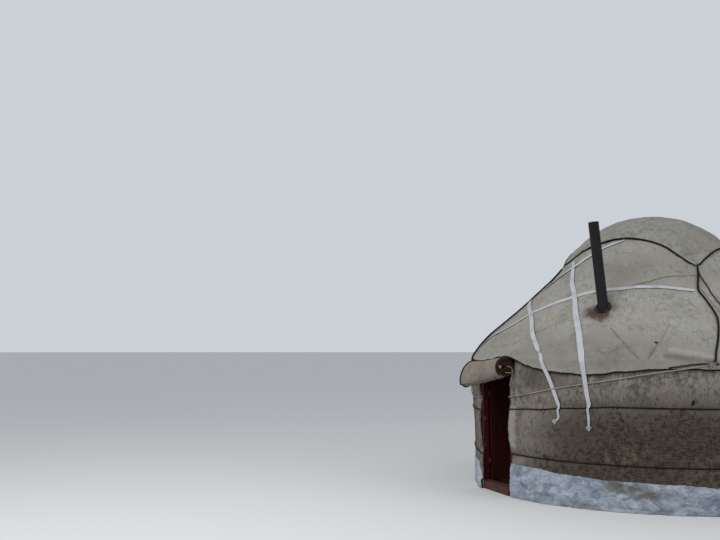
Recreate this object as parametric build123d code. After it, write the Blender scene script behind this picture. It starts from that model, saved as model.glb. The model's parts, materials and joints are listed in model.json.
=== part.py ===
from build123d import *
import math
import os

# A round tent of the steppe: a wooden lattice wall, bent roof poles and a domed crown
# ring, covered by wall felts, roof felts and a square crown cover, held by ropes and
# tapes, with a timber door frame, two door leaves, a rolled-up door flap and a stove
# pipe. Sizes are in millimetres and degrees. An azimuth turns about the middle of the
# tent, from the doorway at -Y (0 degrees) towards +X (90 degrees). A slope is measured
# from the horizontal.

# Wall
wall_radius = 2300.0
wall_height = 1500.0
wall_felt_thickness = 20.0
wall_felt_count = 4
seat = 0.3

# Lattice wall, in panels of so many facets
panel_facets = (7, 6, 6, 7)
lattice_thickness = 28.0
lath_width = 32.0
heads_per_facet = 2
lattice_rows = 4.5

# Roof surface, from the eave up to the crown
eave_drop = 83.0
eave_rise = 83.0
eave_bend_radius = 60.0
shoulder_slope = 51.8
shoulder_radius = 2700.0
roof_slope = 41.0
neck_radius = 3000.0
neck_slope = 53.5
crown_reach = 1043.0
roof_felt_thickness = 18.0
roof_felt_opening = 820.0
roof_felt_count = 4
roof_felt_widths = 6
roof_seam_azimuth = -18.0

# Crown ring, crown laths and crown cover
ring_outer_radius = 960.0
ring_width = 60.0
ring_depth = 150.0
crown_lath_width = 32.0
crown_lath_thickness = 20.0
crown_lath_pitch = 150.0
crown_laths_per_set = 3
cover_half_side = 867.0
cover_thickness = 18.0
cover_widths = 3
cover_azimuth = 34.0
cover_cord_width = 24.0

# Roof poles
pole_diameter = 28.0
pole_bend_radius = 1190.0
pole_foot_slope = 66.0
door_pole_count = 3
door_pole_spacing = 7.0

# Doorway and its timber frame
door_edge = 376.0
frame_opening_half = 345.0
jamb_width = 70.0
frame_front = 2275.0
frame_back = 2185.0
frame_head = 1400.0
threshold_front = 2285.0
threshold_back = 2165.0
threshold_height = 95.0

# Door leaves, in the opening when closed and square to it as they stand
leaf_thickness = 35.0
leaf_gap = 6.0
leaf_stile = 62.0
leaf_middle_rail_height = 520.0
leaf_panel_recess = 8.0
leaf_open_angle = 90.0

# Leaf hinges and jamb hooks
pin_radius = 4.0
pin_clearance = 0.08
knuckle_radius = 8.0
knuckle_length = 30.0
hinge_axis_inset = 10.0
hinge_plate_thickness = 3.0
hinge_plate_length = 55.0
hinge_heights = (300.0, 1130.0)
hook_heights = (520.0, 850.0)
hook_plate_height = 44.0
hook_plate_depth = 22.0
hook_plate_thickness = 2.0
hook_ring_radius = 16.0
hook_ring_wire = 3.0

# Rolled door flap, thicker at its far end, and its straps
flap_near_end = 470.0
flap_far_end = -420.0
flap_near_height = 1504.0
flap_far_height = 1365.0
flap_near_half_height = 112.0
flap_far_half_height = 158.0
flap_near_half_depth = 112.0
flap_far_half_depth = 135.0
strap_width = 28.0
strap_thickness = 3.0
strap_places = (-280.0, 20.0, 330.0)
flap_headroom = 16.0
flap_notch_half = 530.0

# Skirt, ropes and edge cords
skirt_thickness = 5.0
skirt_height = 330.0
skirt_count = 2
rope_diameter = 14.0
upper_rope_height = 1090.0
lower_rope_height = 482.0
pale_rope_width = 12.0
pale_rope_low = 1160.0
pale_rope_high = 1562.0
pale_rope_end_azimuth = 67.0
edge_cord_width = 22.0
edge_cord_foot = 1540.0
right_edge_cord = ((77.6, 1290.0), (74.2, 1480.0), (75.5, 1820.0), (68.6, 2450.0))
left_edge_cord = ((-15.6, 1290.0), (-24.2, 1544.0), (-22.3, 1729.0), (-19.9, 2450.0))

# White tapes: start, middle and end in plan as azimuth and radius, and the foot's height
tape_width = 55.0
tape_thickness = 3.0
cross_tape = ((-15.5, 2150.0), (13.0, 1625.0), (70.8, 1500.0), 0.0)
crown_tape = ((-14.5, 1395.0), (1.7, 1157.0), (33.0, 920.0), 0.0)
right_tape = ((4.0, 1180.0), (21.0, 1583.0), (36.6, 2430.0), 861.0)
left_tape = ((-15.5, 1580.0), (5.5, 1850.0), (25.6, 2430.0), 913.0)

# Stove pipe and its collar
pipe_diameter = 120.0
pipe_wall = 2.0
pipe_azimuth = 36.4
pipe_distance = 1728.0
pipe_above = 1000.0
pipe_below = 330.0
pipe_lean = 5.2
pipe_lean_azimuth = -33.2
pipe_hole_clearance = 4.0
collar_width = 34.0
collar_thickness = 3.0

# Sizes that follow from the ones above
lattice_outer = wall_radius - wall_felt_thickness - seat
lattice_inner = lattice_outer - lattice_thickness
lattice_middle = (lattice_outer + lattice_inner) / 2
eave_radius = wall_radius + seat + roof_felt_thickness
eave_start = wall_height + eave_rise
eave_height = eave_start - eave_drop
ring_inner_radius = ring_outer_radius - ring_width
reach = 3 * wall_radius
wedge_rim_lines = 4
full_height = 3 * wall_height
door_edge_azimuth = math.degrees(math.asin(door_edge / wall_radius))
jamb_outer_half = frame_opening_half + jamb_width
pipe_radius = pipe_diameter / 2


def sine(angle):
    return math.sin(math.radians(angle))


def cosine(angle):
    return math.cos(math.radians(angle))


def plan(azimuth, radius):
    """Point of the ground plan at an azimuth from the doorway and a radius."""
    return (radius * sine(azimuth), -radius * cosine(azimuth))


def arc_step(point, slope, next_slope, radius):
    """Middle and end of an arc that climbs inwards from one slope to the next."""
    places = []
    for reached in ((slope + next_slope) / 2, next_slope):
        inwards = radius * abs(sine(slope) - sine(reached))
        upwards = radius * abs(cosine(slope) - cosine(reached))
        places.append((point[0] - inwards, point[1] + upwards))
    return places


def roof_places(offset):
    """Places along the roof surface, as radius and height, moved outwards by an offset."""
    eave = (eave_radius + offset, eave_start)
    bend = arc_step(eave, 90, shoulder_slope, eave_bend_radius + offset)
    shoulder = arc_step(bend[1], shoulder_slope, roof_slope, shoulder_radius + offset)
    bend_run = eave_bend_radius * (1 - sine(shoulder_slope))
    shoulder_run = shoulder_radius * (sine(shoulder_slope) - sine(roof_slope))
    neck_run = neck_radius * (sine(neck_slope) - sine(roof_slope))
    straight_run = eave_radius - bend_run - shoulder_run - neck_run - crown_reach
    straight_rise = straight_run * math.tan(math.radians(roof_slope))
    straight_end = (shoulder[1][0] - straight_run, shoulder[1][1] + straight_rise)
    neck = arc_step(straight_end, roof_slope, neck_slope, neck_radius - offset)
    crown_radius = crown_reach / sine(neck_slope) + offset
    crown = arc_step(neck[1], neck_slope, 0, crown_radius)
    return eave, bend, shoulder, straight_end, neck, crown


def crown_height(radius, offset):
    """Height of the crown's surface at a radius, moved outwards by an offset."""
    top = roof_places(offset)[5][1][1]
    dome = crown_reach / sine(neck_slope) + offset
    return top - dome + math.sqrt(dome**2 - radius**2)


def roof_section(offset, foot):
    """Half section of all that is inside the roof surface, moved outwards, down to a foot."""
    eave, bend, shoulder, straight_end, neck, crown = roof_places(offset)
    top = (0, crown[1][1])

    def at(place):
        return (place[0], 0, place[1])

    outline = [
        Line(at((0, foot)), at((eave[0], foot))),
        Line(at((eave[0], foot)), at(eave)),
        ThreePointArc(at(eave), at(bend[0]), at(bend[1])),
        ThreePointArc(at(bend[1]), at(shoulder[0]), at(shoulder[1])),
        Line(at(shoulder[1]), at(straight_end)),
        ThreePointArc(at(straight_end), at(neck[0]), at(neck[1])),
        ThreePointArc(at(neck[1]), at(crown[0]), at(top)),
        Line(at(top), at((0, foot))),
    ]
    return make_face(Wire(outline))


def inside_roof(offset, foot):
    """Everything inside the roof surface, moved outwards, with a straight side to a foot."""
    return revolve(roof_section(offset, foot), Axis.Z)


def disc(radius, height, foot=0.0):
    """Upright cylinder about the middle of the tent, standing at a foot height."""
    return Pos(0, 0, foot) * Cylinder(radius, height, align=(Align.CENTER, Align.CENTER, Align.MIN))


def inside_covers(offset):
    """Everything inside the roof felts and wall felts together, moved outwards."""
    foot = eave_height - offset
    return inside_roof(offset, foot) + disc(wall_radius + offset, foot + seat)


def wrap(inner, outer):
    """Skin outside the felts between two offsets."""
    return inside_covers(outer) - inside_covers(inner)


def sector(start, end):
    """Tall wedge between two azimuths."""
    turn = (end - start) / wedge_rim_lines
    rim = [plan(start + turn * line, reach) for line in range(wedge_rim_lines + 1)]
    face = make_face(Polyline((0, 0), *rim, close=True))
    return extrude(face, full_height)


def gap_angle(radius):
    """Angle that leaves half of a seam's clearance at a radius."""
    return math.degrees(seat / 2 / radius)


def tall_strip(places, width):
    """Upright strip that follows a curve through three plan places."""
    start, middle, end = [plan(*place) for place in places]
    line = ThreePointArc(start, middle, end)
    return extrude(trace(line, width), full_height)


def one_solid(shape):
    """The largest solid of a shape."""
    return max(shape.solids(), key=lambda solid: solid.volume)


def wall_felts():
    tube = inside_roof(-roof_felt_thickness - seat, 0) - disc(wall_radius - wall_felt_thickness, full_height)
    arc = (360 - 2 * door_edge_azimuth) / wall_felt_count
    seam = gap_angle(wall_radius)
    felts = {}
    for index in range(wall_felt_count):
        start = door_edge_azimuth + index * arc
        felts[f"wall_felt_{index + 1}"] = tube & sector(start + seam, start + arc - seam)
    return felts


def facet_azimuths():
    """Middle azimuth of each lattice facet, panel by panel, and half a facet's angle."""
    start = math.degrees(math.asin((jamb_outer_half + seat) / lattice_inner))
    facet = (360 - 2 * start) / sum(panel_facets)
    panels = []
    passed = 0
    for facets in panel_facets:
        panels.append([start + facet * (passed + index + 0.5) for index in range(facets)])
        passed += facets
    return panels, facet / 2


def lattice_pitch():
    """Width of one diamond of the lattice wall."""
    half_facet = facet_azimuths()[1]
    return 2 * lattice_middle * sine(half_facet) / heads_per_facet


def lattice_facet(half_facet):
    """One facet of the lattice wall, at the doorway's azimuth."""
    wide = lattice_pitch()
    tall = wall_height / lattice_rows
    side = math.hypot(wide, tall)
    shrink = 1 - lath_width * side / (wide * tall)
    across = wide / 2 * shrink
    upwards = tall / 2 * shrink
    hole = make_face(Polyline((across, 0), (0, upwards), (-across, 0), (0, -upwards), close=True))
    sheet = Pos(0, wall_height / 2) * Rectangle(2 * wide * heads_per_facet, wall_height)
    rows = int(lattice_rows) + 1
    shift = wide / 2 * (1 - heads_per_facet % 2)
    for column in range(-heads_per_facet, heads_per_facet + 1):
        for row in range(rows + 1):
            sheet -= Pos(column * wide + shift, row * tall) * hole
            sheet -= Pos((column + 0.5) * wide + shift, (row + 0.5) * tall) * hole
    front = Plane(origin=(0, 0, 0), x_dir=(1, 0, 0), z_dir=(0, -1, 0))
    block = extrude(front * sheet, wall_radius)
    shell = disc(lattice_outer, wall_height) - disc(lattice_inner, wall_height)
    return block & shell & sector(-half_facet, half_facet)


def lattice_panels():
    panels, half_facet = facet_azimuths()
    facet = lattice_facet(half_facet)
    nodes = {}
    for index, azimuths in enumerate(panels):
        turned = [facet.rotate(Axis.Z, azimuth) for azimuth in azimuths]
        nodes[f"lattice_{index + 1}"] = turned[0].fuse(*turned[1:])
    return nodes


def roof_pole():
    """One roof pole over the doorway, from the crown ring down its bent foot."""
    depth = roof_felt_thickness + seat + pole_diameter / 2
    line_place = roof_places(-depth)[3]
    steepness = math.tan(math.radians(roof_slope))
    foot = (lattice_middle, wall_height + seat)
    bend_run = pole_bend_radius * (sine(pole_foot_slope) - sine(roof_slope))
    bend_rise = pole_bend_radius * (cosine(roof_slope) - cosine(pole_foot_slope))
    line_height = line_place[1] - (foot[0] - bend_run - line_place[0]) * steepness
    foot_length = (line_height - foot[1] - bend_rise) / (
        sine(pole_foot_slope) - cosine(pole_foot_slope) * steepness
    )
    knee = (foot[0] - foot_length * cosine(pole_foot_slope), foot[1] + foot_length * sine(pole_foot_slope))
    bend = arc_step(knee, pole_foot_slope, roof_slope, pole_bend_radius)
    tip_radius = ring_inner_radius
    tip = (tip_radius, bend[1][1] + (bend[1][0] - tip_radius) * steepness)

    def at(place):
        return (0, -place[0], place[1])

    path = Line(at(foot), at(knee))
    path += ThreePointArc(at(knee), at(bend[0]), at(bend[1]))
    path += Line(at(bend[1]), at(tip))
    start = Plane(origin=at(foot), z_dir=(0, cosine(pole_foot_slope), sine(pole_foot_slope)))
    pole = sweep(start * Circle(pole_diameter / 2), path=path)
    pole -= disc(ring_outer_radius + seat, full_height)
    return one_solid(pole - disc(reach, wall_height + seat))


def roof_poles():
    panels, half_facet = facet_azimuths()
    pole = roof_pole()
    wide = lattice_pitch()
    nodes = {}
    for index, azimuths in enumerate(panels):
        turned = []
        for azimuth in azimuths:
            for head in range(heads_per_facet):
                sideways = (head - (heads_per_facet - 1) / 2) * wide
                turned.append(azimuth + math.degrees(math.asin(sideways / lattice_middle)))
        nodes[f"roof_poles_{index + 1}"] = Compound([pole.rotate(Axis.Z, turn) for turn in turned])
    door_turns = [(index - (door_pole_count - 1) / 2) * door_pole_spacing for index in range(door_pole_count)]
    nodes["door_poles"] = Compound([pole.rotate(Axis.Z, turn) for turn in door_turns])
    return nodes


def crown():
    upper = -roof_felt_thickness - seat
    lower = upper - crown_lath_thickness - seat
    bottom = crown_height(ring_outer_radius, lower) - ring_depth
    ring = disc(ring_outer_radius, full_height, bottom) - disc(ring_inner_radius, full_height, bottom)
    ring &= inside_roof(lower, 0)
    nodes = {"crown_ring": ring}
    span = 2 * ring_outer_radius
    layers = (
        ("crown_laths_upper", upper, ring_outer_radius - seat, cover_azimuth),
        ("crown_laths_lower", lower, ring_inner_radius - seat, cover_azimuth + 90),
    )
    for name, top, radius, turn in layers:
        skin = inside_roof(top, 0) - inside_roof(top - crown_lath_thickness, 0)
        skin &= disc(radius, full_height, bottom)
        laths = []
        for index in range(crown_laths_per_set):
            place = (index - (crown_laths_per_set - 1) / 2) * crown_lath_pitch
            bar = Pos(place, 0, full_height / 2) * Box(crown_lath_width, span, full_height)
            laths.append(one_solid(skin & bar.rotate(Axis.Z, turn)))
        nodes[name] = Compound(laths)
    return nodes


def cover_block(half_side):
    """Tall square block of the crown cover's plan."""
    block = Pos(0, 0, full_height / 2) * Box(2 * half_side, 2 * half_side, full_height)
    return block.rotate(Axis.Z, cover_azimuth)


def crown_cover():
    felt = inside_roof(cover_thickness + seat, 0) - inside_roof(seat, 0)
    width = 2 * cover_half_side / cover_widths
    widths = []
    for index in range(cover_widths):
        place = (index - (cover_widths - 1) / 2) * width
        strip = Pos(place, 0, full_height / 2) * Box(width - seat, 2 * cover_half_side, full_height)
        widths.append(one_solid(felt & strip.rotate(Axis.Z, cover_azimuth)))
    cover = Compound(widths)
    cord_skin = inside_roof(seat + cover_cord_width, 0) - inside_roof(seat, 0)
    frame = cover_block(cover_half_side + seat + cover_cord_width) - cover_block(cover_half_side + seat)
    return {"crown_cover": cover, "crown_cover_cord": cord_skin & frame}


def pipe_place():
    """Where the pipe leaves the roof, and the plane square to its axis there."""
    x, y = plan(pipe_azimuth, pipe_distance)
    straight_end = roof_places(0)[3]
    z = straight_end[1] - (pipe_distance - straight_end[0]) * math.tan(math.radians(roof_slope))
    lean = plan(pipe_lean_azimuth, sine(pipe_lean))
    return Plane(origin=(x, y, z), z_dir=(lean[0], lean[1], cosine(pipe_lean)))


def along_pipe(radius, start, end):
    """Cylinder on the pipe's axis between two places above the roof surface."""
    body = Cylinder(radius, end - start, align=(Align.CENTER, Align.CENTER, Align.MIN))
    return pipe_place() * (Pos(0, 0, start) * body)


def stove_pipe():
    outer = along_pipe(pipe_radius, -pipe_below, pipe_above)
    inner = along_pipe(pipe_radius - pipe_wall, -pipe_below, pipe_above)
    round_block = along_pipe(pipe_radius + collar_width, -pipe_below, pipe_below)
    round_block -= along_pipe(pipe_radius + seat, -pipe_below, pipe_below)
    collar = wrap(seat, seat + collar_thickness) & round_block
    return {"stove_pipe": outer - inner, "pipe_collar": one_solid(collar)}


def flap_centre(place):
    """Centre and half sizes of the rolled flap at a place across the doorway."""
    share = (flap_near_end - place) / (flap_near_end - flap_far_end)
    half_height = flap_near_half_height + share * (flap_far_half_height - flap_near_half_height)
    half_depth = flap_near_half_depth + share * (flap_far_half_depth - flap_near_half_depth)
    height = flap_near_height + share * (flap_far_height - flap_near_height)
    depth = frame_front + 2 * seat + strap_thickness + half_depth
    return depth, height, half_depth, half_height


def flap_body(grow):
    """The rolled flap, grown by a distance all round."""
    ends = []
    for place in (flap_far_end, flap_near_end):
        depth, height, half_depth, half_height = flap_centre(place)
        end = Plane(origin=(place, -depth, height), x_dir=(0, 1, 0), z_dir=(1, 0, 0))
        ends.append(end * Ellipse(half_depth + grow, half_height + grow))
    return loft(ends, ruled=True)


def door_flap():
    band = flap_body(seat + strap_thickness) - flap_body(seat)
    straps = []
    for place in strap_places:
        slab = Pos(place, -wall_radius, wall_height) * Box(strap_width, 2 * wall_height, 2 * wall_height)
        straps.append(one_solid(band & slab))
    return {"door_flap": flap_body(0), "door_flap_straps": Compound(straps)}


def roof_felts(pipe_hole):
    section = roof_section(0, eave_height) - roof_section(-roof_felt_thickness, 0)
    section -= Plane.XZ * Rectangle(2 * roof_felt_opening, 2 * full_height)
    flap_top = flap_near_height + flap_near_half_height + flap_headroom
    notch = Pos(0, -wall_radius, flap_top / 2) * Box(2 * flap_notch_half, wall_radius, flap_top)
    arc = 360 / roof_felt_count / roof_felt_widths
    seam = gap_angle(eave_radius)
    width = revolve(section, Axis.Z, revolution_arc=arc - 2 * seam)
    felts = {}
    for index in range(roof_felt_count):
        widths = []
        for place in range(roof_felt_widths):
            start = roof_seam_azimuth + (index * roof_felt_widths + place) * arc
            widths.append(one_solid(width.rotate(Axis.Z, start + seam - 90) - notch - pipe_hole))
        felts[f"roof_felt_{index + 1}"] = Compound(widths)
    return felts


def skirts():
    tube = disc(wall_radius + seat + skirt_thickness, skirt_height) - disc(wall_radius + seat, skirt_height)
    arc = (360 - 2 * door_edge_azimuth) / skirt_count
    seam = gap_angle(wall_radius)
    nodes = {}
    for index in range(skirt_count):
        start = door_edge_azimuth + index * arc
        nodes[f"skirt_{index + 1}"] = tube & sector(start + seam, start + arc - seam)
    return nodes


def wall_rope(height, grow=0.0):
    """A rope round the wall from one door edge to the other."""
    radius = wall_radius + seat + rope_diameter / 2
    section = Pos(radius, 0, height) * (Rot(90, 0, 0) * Circle(rope_diameter / 2 + grow))
    rope = revolve(section, Axis.Z, revolution_arc=360 - 2 * door_edge_azimuth)
    return rope.rotate(Axis.Z, door_edge_azimuth - 90)


def pale_rope(grow=0.0):
    """The slanting rope from the doorway's near edge up over the eave, grown all round."""
    middle = (door_edge_azimuth + pale_rope_end_azimuth) / 2
    half_run = wall_radius * sine(pale_rope_end_azimuth - middle)
    tilt = math.atan2((pale_rope_high - pale_rope_low) / 2, half_run)
    along = (math.cos(tilt) * cosine(middle), math.cos(tilt) * sine(middle), math.sin(tilt))
    height = (pale_rope_low + pale_rope_high) / 2
    up = (-math.sin(tilt) * cosine(middle), -math.sin(tilt) * sine(middle), math.cos(tilt))
    slab = Plane(origin=(0, 0, height), x_dir=along, z_dir=up) * Box(reach, reach, pale_rope_width + 2 * grow)
    rope = wrap(seat - grow, seat + pale_rope_width + grow) & slab
    return one_solid(rope & sector(door_edge_azimuth, pale_rope_end_azimuth))


def edge_cord(places, turn):
    """A cord down a roof felt's edge, from the crown cover's corner to the eave."""
    line = Polyline(*[plan(*place) for place in places])
    strip = extrude(trace(line, edge_cord_width), full_height)
    cord = wrap(seat, seat + edge_cord_width) & strip
    return one_solid(cord - disc(reach, edge_cord_foot)).rotate(Axis.Z, turn)


def tape(places, foot, inner):
    """A tape laid over the felts through three plan places, down to a foot height."""
    strip = tall_strip(places, tape_width) - disc(reach, foot)
    return wrap(inner, inner + tape_thickness) & strip


def tapes():
    over = 2 * seat + tape_thickness
    rope_room = wall_rope(upper_rope_height, seat) + pale_rope(seat)
    nodes = {
        "cross_tape": one_solid(tape(cross_tape[:3], cross_tape[3], seat)),
        "crown_tape": one_solid(tape(crown_tape[:3], crown_tape[3], seat)),
    }
    for name, values in (("right_tape", right_tape), ("left_tape", left_tape)):
        nodes[name] = tape(values[:3], values[3], over) - rope_room
    return nodes


def door_frame():
    inside_felt = disc(lattice_outer, wall_height)
    depth = frame_front - frame_back
    jamb = Box(jamb_width, depth, frame_head, align=(Align.MIN, Align.MAX, Align.MIN))
    jamb = Pos(frame_opening_half, -frame_back, 0) * jamb & inside_felt
    lintel_depth = wall_height - frame_head
    lintel = Box(2 * jamb_outer_half, depth, lintel_depth, align=(Align.CENTER, Align.MAX, Align.MIN))
    lintel = Pos(0, -frame_back, frame_head) * lintel & inside_felt
    threshold = Box(
        2 * (frame_opening_half - seat),
        threshold_front - threshold_back,
        threshold_height,
        align=(Align.CENTER, Align.MAX, Align.MIN),
    )
    return {
        "jamb_right": jamb,
        "jamb_left": mirror(jamb, Plane.YZ),
        "lintel": lintel,
        "threshold": Pos(0, -threshold_back, 0) * threshold,
    }


def hinge_axis():
    """Plan place of the left leaf's hinge axis."""
    return (-frame_opening_half + leaf_gap / 2, -frame_back + hinge_axis_inset)


def closed_leaf():
    """The left leaf as it closes, with recessed panels on both faces."""
    width = frame_opening_half - leaf_gap - leaf_gap / 2
    bottom = threshold_height + leaf_gap
    height = frame_head - leaf_gap - bottom
    corner = Pos(-frame_opening_half + leaf_gap, -frame_back, bottom)
    leaf = corner * Box(width, leaf_thickness, height, align=(Align.MIN, Align.MAX, Align.MIN))
    rail_bottom = bottom + leaf_middle_rail_height
    spans = ((bottom + leaf_stile, rail_bottom), (rail_bottom + leaf_stile, bottom + height - leaf_stile))
    panel_left = -frame_opening_half + leaf_gap + leaf_stile
    for low, high in spans:
        recess = Box(
            width - 2 * leaf_stile, leaf_panel_recess, high - low, align=(Align.MIN, Align.MAX, Align.MIN)
        )
        leaf -= Pos(panel_left, -frame_back, low) * recess
        leaf -= Pos(panel_left, -frame_back - leaf_thickness + leaf_panel_recess, low) * recess
    return leaf


def hinge_plate(side, height):
    """Plate from the hinge axis across a jamb (side -1) or a leaf (side 1)."""
    align = (Align.MIN if side > 0 else Align.MAX, Align.MIN, Align.MIN)
    plate = Box(hinge_plate_length, hinge_plate_thickness, knuckle_length, align=align)
    return Pos(hinge_axis()[0], -frame_back, height) * plate


def hinges():
    """Fixed and moving halves of the left leaf's hinges."""
    x, y = hinge_axis()
    base = (Align.CENTER, Align.CENTER, Align.MIN)
    fixed = []
    moving = []
    for height in hinge_heights:
        upper = height + knuckle_length + seat
        pin_length = 2 * knuckle_length + seat
        knuckle = Pos(x, y, height) * Cylinder(knuckle_radius, knuckle_length, align=base)
        pin = Pos(x, y, height) * Cylinder(pin_radius, pin_length, align=base)
        fixed.append(knuckle + pin + hinge_plate(-1, height))
        eye = Pos(x, y, upper) * Cylinder(knuckle_radius, knuckle_length, align=base)
        bore = Pos(x, y, upper) * Cylinder(pin_radius + pin_clearance, knuckle_length, align=base)
        moving.append(eye + hinge_plate(1, upper) - bore)
    return Compound(fixed), Compound(moving)


def doors():
    x, y = hinge_axis()
    pivot = Axis((x, y, 0), (0, 0, 1))
    leaf = closed_leaf().rotate(pivot, leaf_open_angle)
    fixed, moving = hinges()
    moving = moving.rotate(pivot, leaf_open_angle)
    left = {"door_leaf": leaf, "leaf_hinges": moving}
    nodes = {"jamb_hinges": Compound([fixed, mirror(fixed, Plane.YZ)])}
    for name, shape in left.items():
        nodes[f"{name}_left"] = shape
        nodes[f"{name}_right"] = mirror(shape, Plane.YZ)
    return nodes


def jamb_hooks():
    """Small plates with a ring on the left jamb's inner face."""
    hooks = []
    front = -frame_back - leaf_thickness - leaf_gap
    for height in hook_heights:
        align = (Align.MIN, Align.MAX, Align.CENTER)
        plate = Box(hook_plate_thickness, hook_plate_depth, hook_plate_height, align=align)
        plate = Pos(-frame_opening_half, front, height) * plate
        ring = Rot(90, 0, 0) * Torus(hook_ring_radius, hook_ring_wire)
        ring = Pos(-frame_opening_half + hook_ring_radius, front - hook_plate_depth / 2, height) * ring
        outside = Pos(-frame_opening_half, front, height) * Box(
            jamb_width, reach, reach, align=(Align.MAX, Align.CENTER, Align.CENTER)
        )
        hooks.append(plate + ring - outside)
    return Compound(hooks)


def build():
    """All pieces by name, about the middle of the tent."""
    pipe_hole = along_pipe(pipe_radius + pipe_hole_clearance, -pipe_below, pipe_below)
    nodes = {}
    nodes.update(door_frame())
    nodes.update(doors())
    nodes["jamb_hooks"] = jamb_hooks()
    nodes.update(lattice_panels())
    nodes.update(roof_poles())
    nodes.update(crown())
    nodes.update(wall_felts())
    nodes.update(roof_felts(pipe_hole))
    nodes.update(crown_cover())
    nodes.update(skirts())
    nodes["wall_ropes"] = Compound([wall_rope(upper_rope_height), wall_rope(lower_rope_height)])
    nodes["pale_ropes"] = Compound([pale_rope(), mirror(pale_rope(), Plane.YZ)])
    cords = [edge_cord(right_edge_cord, 0), edge_cord(left_edge_cord, 0)]
    cords += [edge_cord(right_edge_cord, 90), edge_cord(left_edge_cord, -90)]
    nodes["roof_edge_cords"] = Compound(cords)
    nodes.update(tapes())
    nodes.update(door_flap())
    nodes.update(stove_pipe())
    return nodes


def frame_place():
    """Move that puts the middle of the whole tent's plan at the origin."""
    roll = flap_centre(flap_far_end)
    front = roll[0] + roll[2]
    return Location((0, (front - eave_radius) / 2, 0))


os.makedirs("parts", exist_ok=True)
for node, shape in build().items():
    export_step(frame_place() * shape, f"parts/{node}.step")
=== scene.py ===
"""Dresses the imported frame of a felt-covered round tent, with a studio and a camera."""

from __future__ import annotations

import json
import logging
import math
from dataclasses import dataclass
from enum import Enum
from functools import partial
from typing import Callable, Sequence

import bpy
from mathutils import Matrix, Vector, noise

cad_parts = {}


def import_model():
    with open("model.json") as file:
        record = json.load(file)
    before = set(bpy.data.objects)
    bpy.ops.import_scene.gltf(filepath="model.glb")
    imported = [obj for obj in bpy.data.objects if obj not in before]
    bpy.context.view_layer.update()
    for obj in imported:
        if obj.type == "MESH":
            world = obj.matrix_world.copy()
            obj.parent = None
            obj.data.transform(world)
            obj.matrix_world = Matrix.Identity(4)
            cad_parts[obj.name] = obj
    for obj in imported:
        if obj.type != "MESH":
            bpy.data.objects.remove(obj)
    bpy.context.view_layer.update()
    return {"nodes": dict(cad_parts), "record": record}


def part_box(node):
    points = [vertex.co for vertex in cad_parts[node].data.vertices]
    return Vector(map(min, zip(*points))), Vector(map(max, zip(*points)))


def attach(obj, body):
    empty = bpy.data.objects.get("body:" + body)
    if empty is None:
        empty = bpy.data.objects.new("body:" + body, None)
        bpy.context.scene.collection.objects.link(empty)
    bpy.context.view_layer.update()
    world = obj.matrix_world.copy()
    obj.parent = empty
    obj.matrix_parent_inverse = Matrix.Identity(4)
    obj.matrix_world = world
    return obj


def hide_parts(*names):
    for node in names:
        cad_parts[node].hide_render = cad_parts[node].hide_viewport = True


LOG = logging.getLogger("tent")

Colour = tuple[float, float, float]
Size = tuple[float, float, float]
Place = tuple[float, float]
Mapping = Callable[[float, float], Vector]
Material = bpy.types.Material
Piece = bpy.types.Object


def sine(angle: float) -> float:
    """Sine of an angle in degrees."""
    return math.sin(math.radians(angle))


def cosine(angle: float) -> float:
    """Cosine of an angle in degrees."""
    return math.cos(math.radians(angle))


def ease(low: float, high: float, value: float) -> float:
    """Share from 0 at low to 1 at high, with a soft start and end."""
    share = min(1.0, max(0.0, (value - low) / (high - low)))
    return share * share * (3 - 2 * share)


def swell(low: float, high: float, value: float) -> float:
    """Half a wave that is 0 at both limits and 1 halfway, and 0 outside."""
    if not low < value < high:
        return 0.0
    return math.sin(math.pi * (value - low) / (high - low))


def bell(away: float, width: float) -> float:
    """Share from 1 at no distance, falling softly away over a width."""
    return math.exp(-((away / width) ** 2))


def cloud(place: Vector, size: float) -> float:
    """Smooth noise from -1 to 1 whose lumps are about so large."""
    return noise.noise(place / size)


def ridge(place: Vector, size: float) -> float:
    """Sharp creases: 1 along lines where smooth noise crosses 0, and falling away from them."""
    return 1.0 - min(1.0, abs(cloud(place, size)) * 3.0)


def from_segment(spot: Place, start: Place, end: Place) -> Place:
    """Distance from a straight run in plan, and the share of the run that is nearest.

    Args:
        spot: The place that is tested.
        start: First end of the run.
        end: Last end of the run.

    Returns:
        Distance in metres and share from 0 to 1.
    """
    run = (end[0] - start[0], end[1] - start[1])
    away = (spot[0] - start[0], spot[1] - start[1])
    share = min(1.0, max(0.0, (away[0] * run[0] + away[1] * run[1]) / (run[0] ** 2 + run[1] ** 2)))
    return math.hypot(away[0] - run[0] * share, away[1] - run[1] * share), share


def along_list(stations: Sequence[Place], value: float) -> float:
    """Value read from a short list of stations, with a soft run from each to the next.

    Args:
        stations: Pairs of a position and the value there, in rising order.
        value: The position that is looked up.

    Returns:
        The value there, which stays level past both ends.
    """
    if value <= stations[0][0]:
        return stations[0][1]
    for (start, first), (end, last) in zip(stations, stations[1:]):
        if value <= end:
            return first + (last - first) * ease(start, end, value)
    return stations[-1][1]


NEAR_DOOR_EDGE: Sequence[Place] = (
    (0.0, 9.9), (0.11, 10.0), (0.27, 10.15), (0.45, 10.35), (0.57, 10.0), (0.68, 9.45),
    (0.80, 9.3), (0.96, 9.6), (1.10, 10.1), (1.28, 10.5), (1.43, 11.2), (1.58, 12.0),
)
FAR_DOOR_EDGE: Sequence[Place] = (
    (0.0, 7.4), (0.13, 7.5), (0.31, 8.0), (0.555, 8.6), (0.74, 8.9), (0.93, 9.1), (1.06, 9.4),
    (1.22, 9.7), (1.58, 9.8),
)


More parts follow.
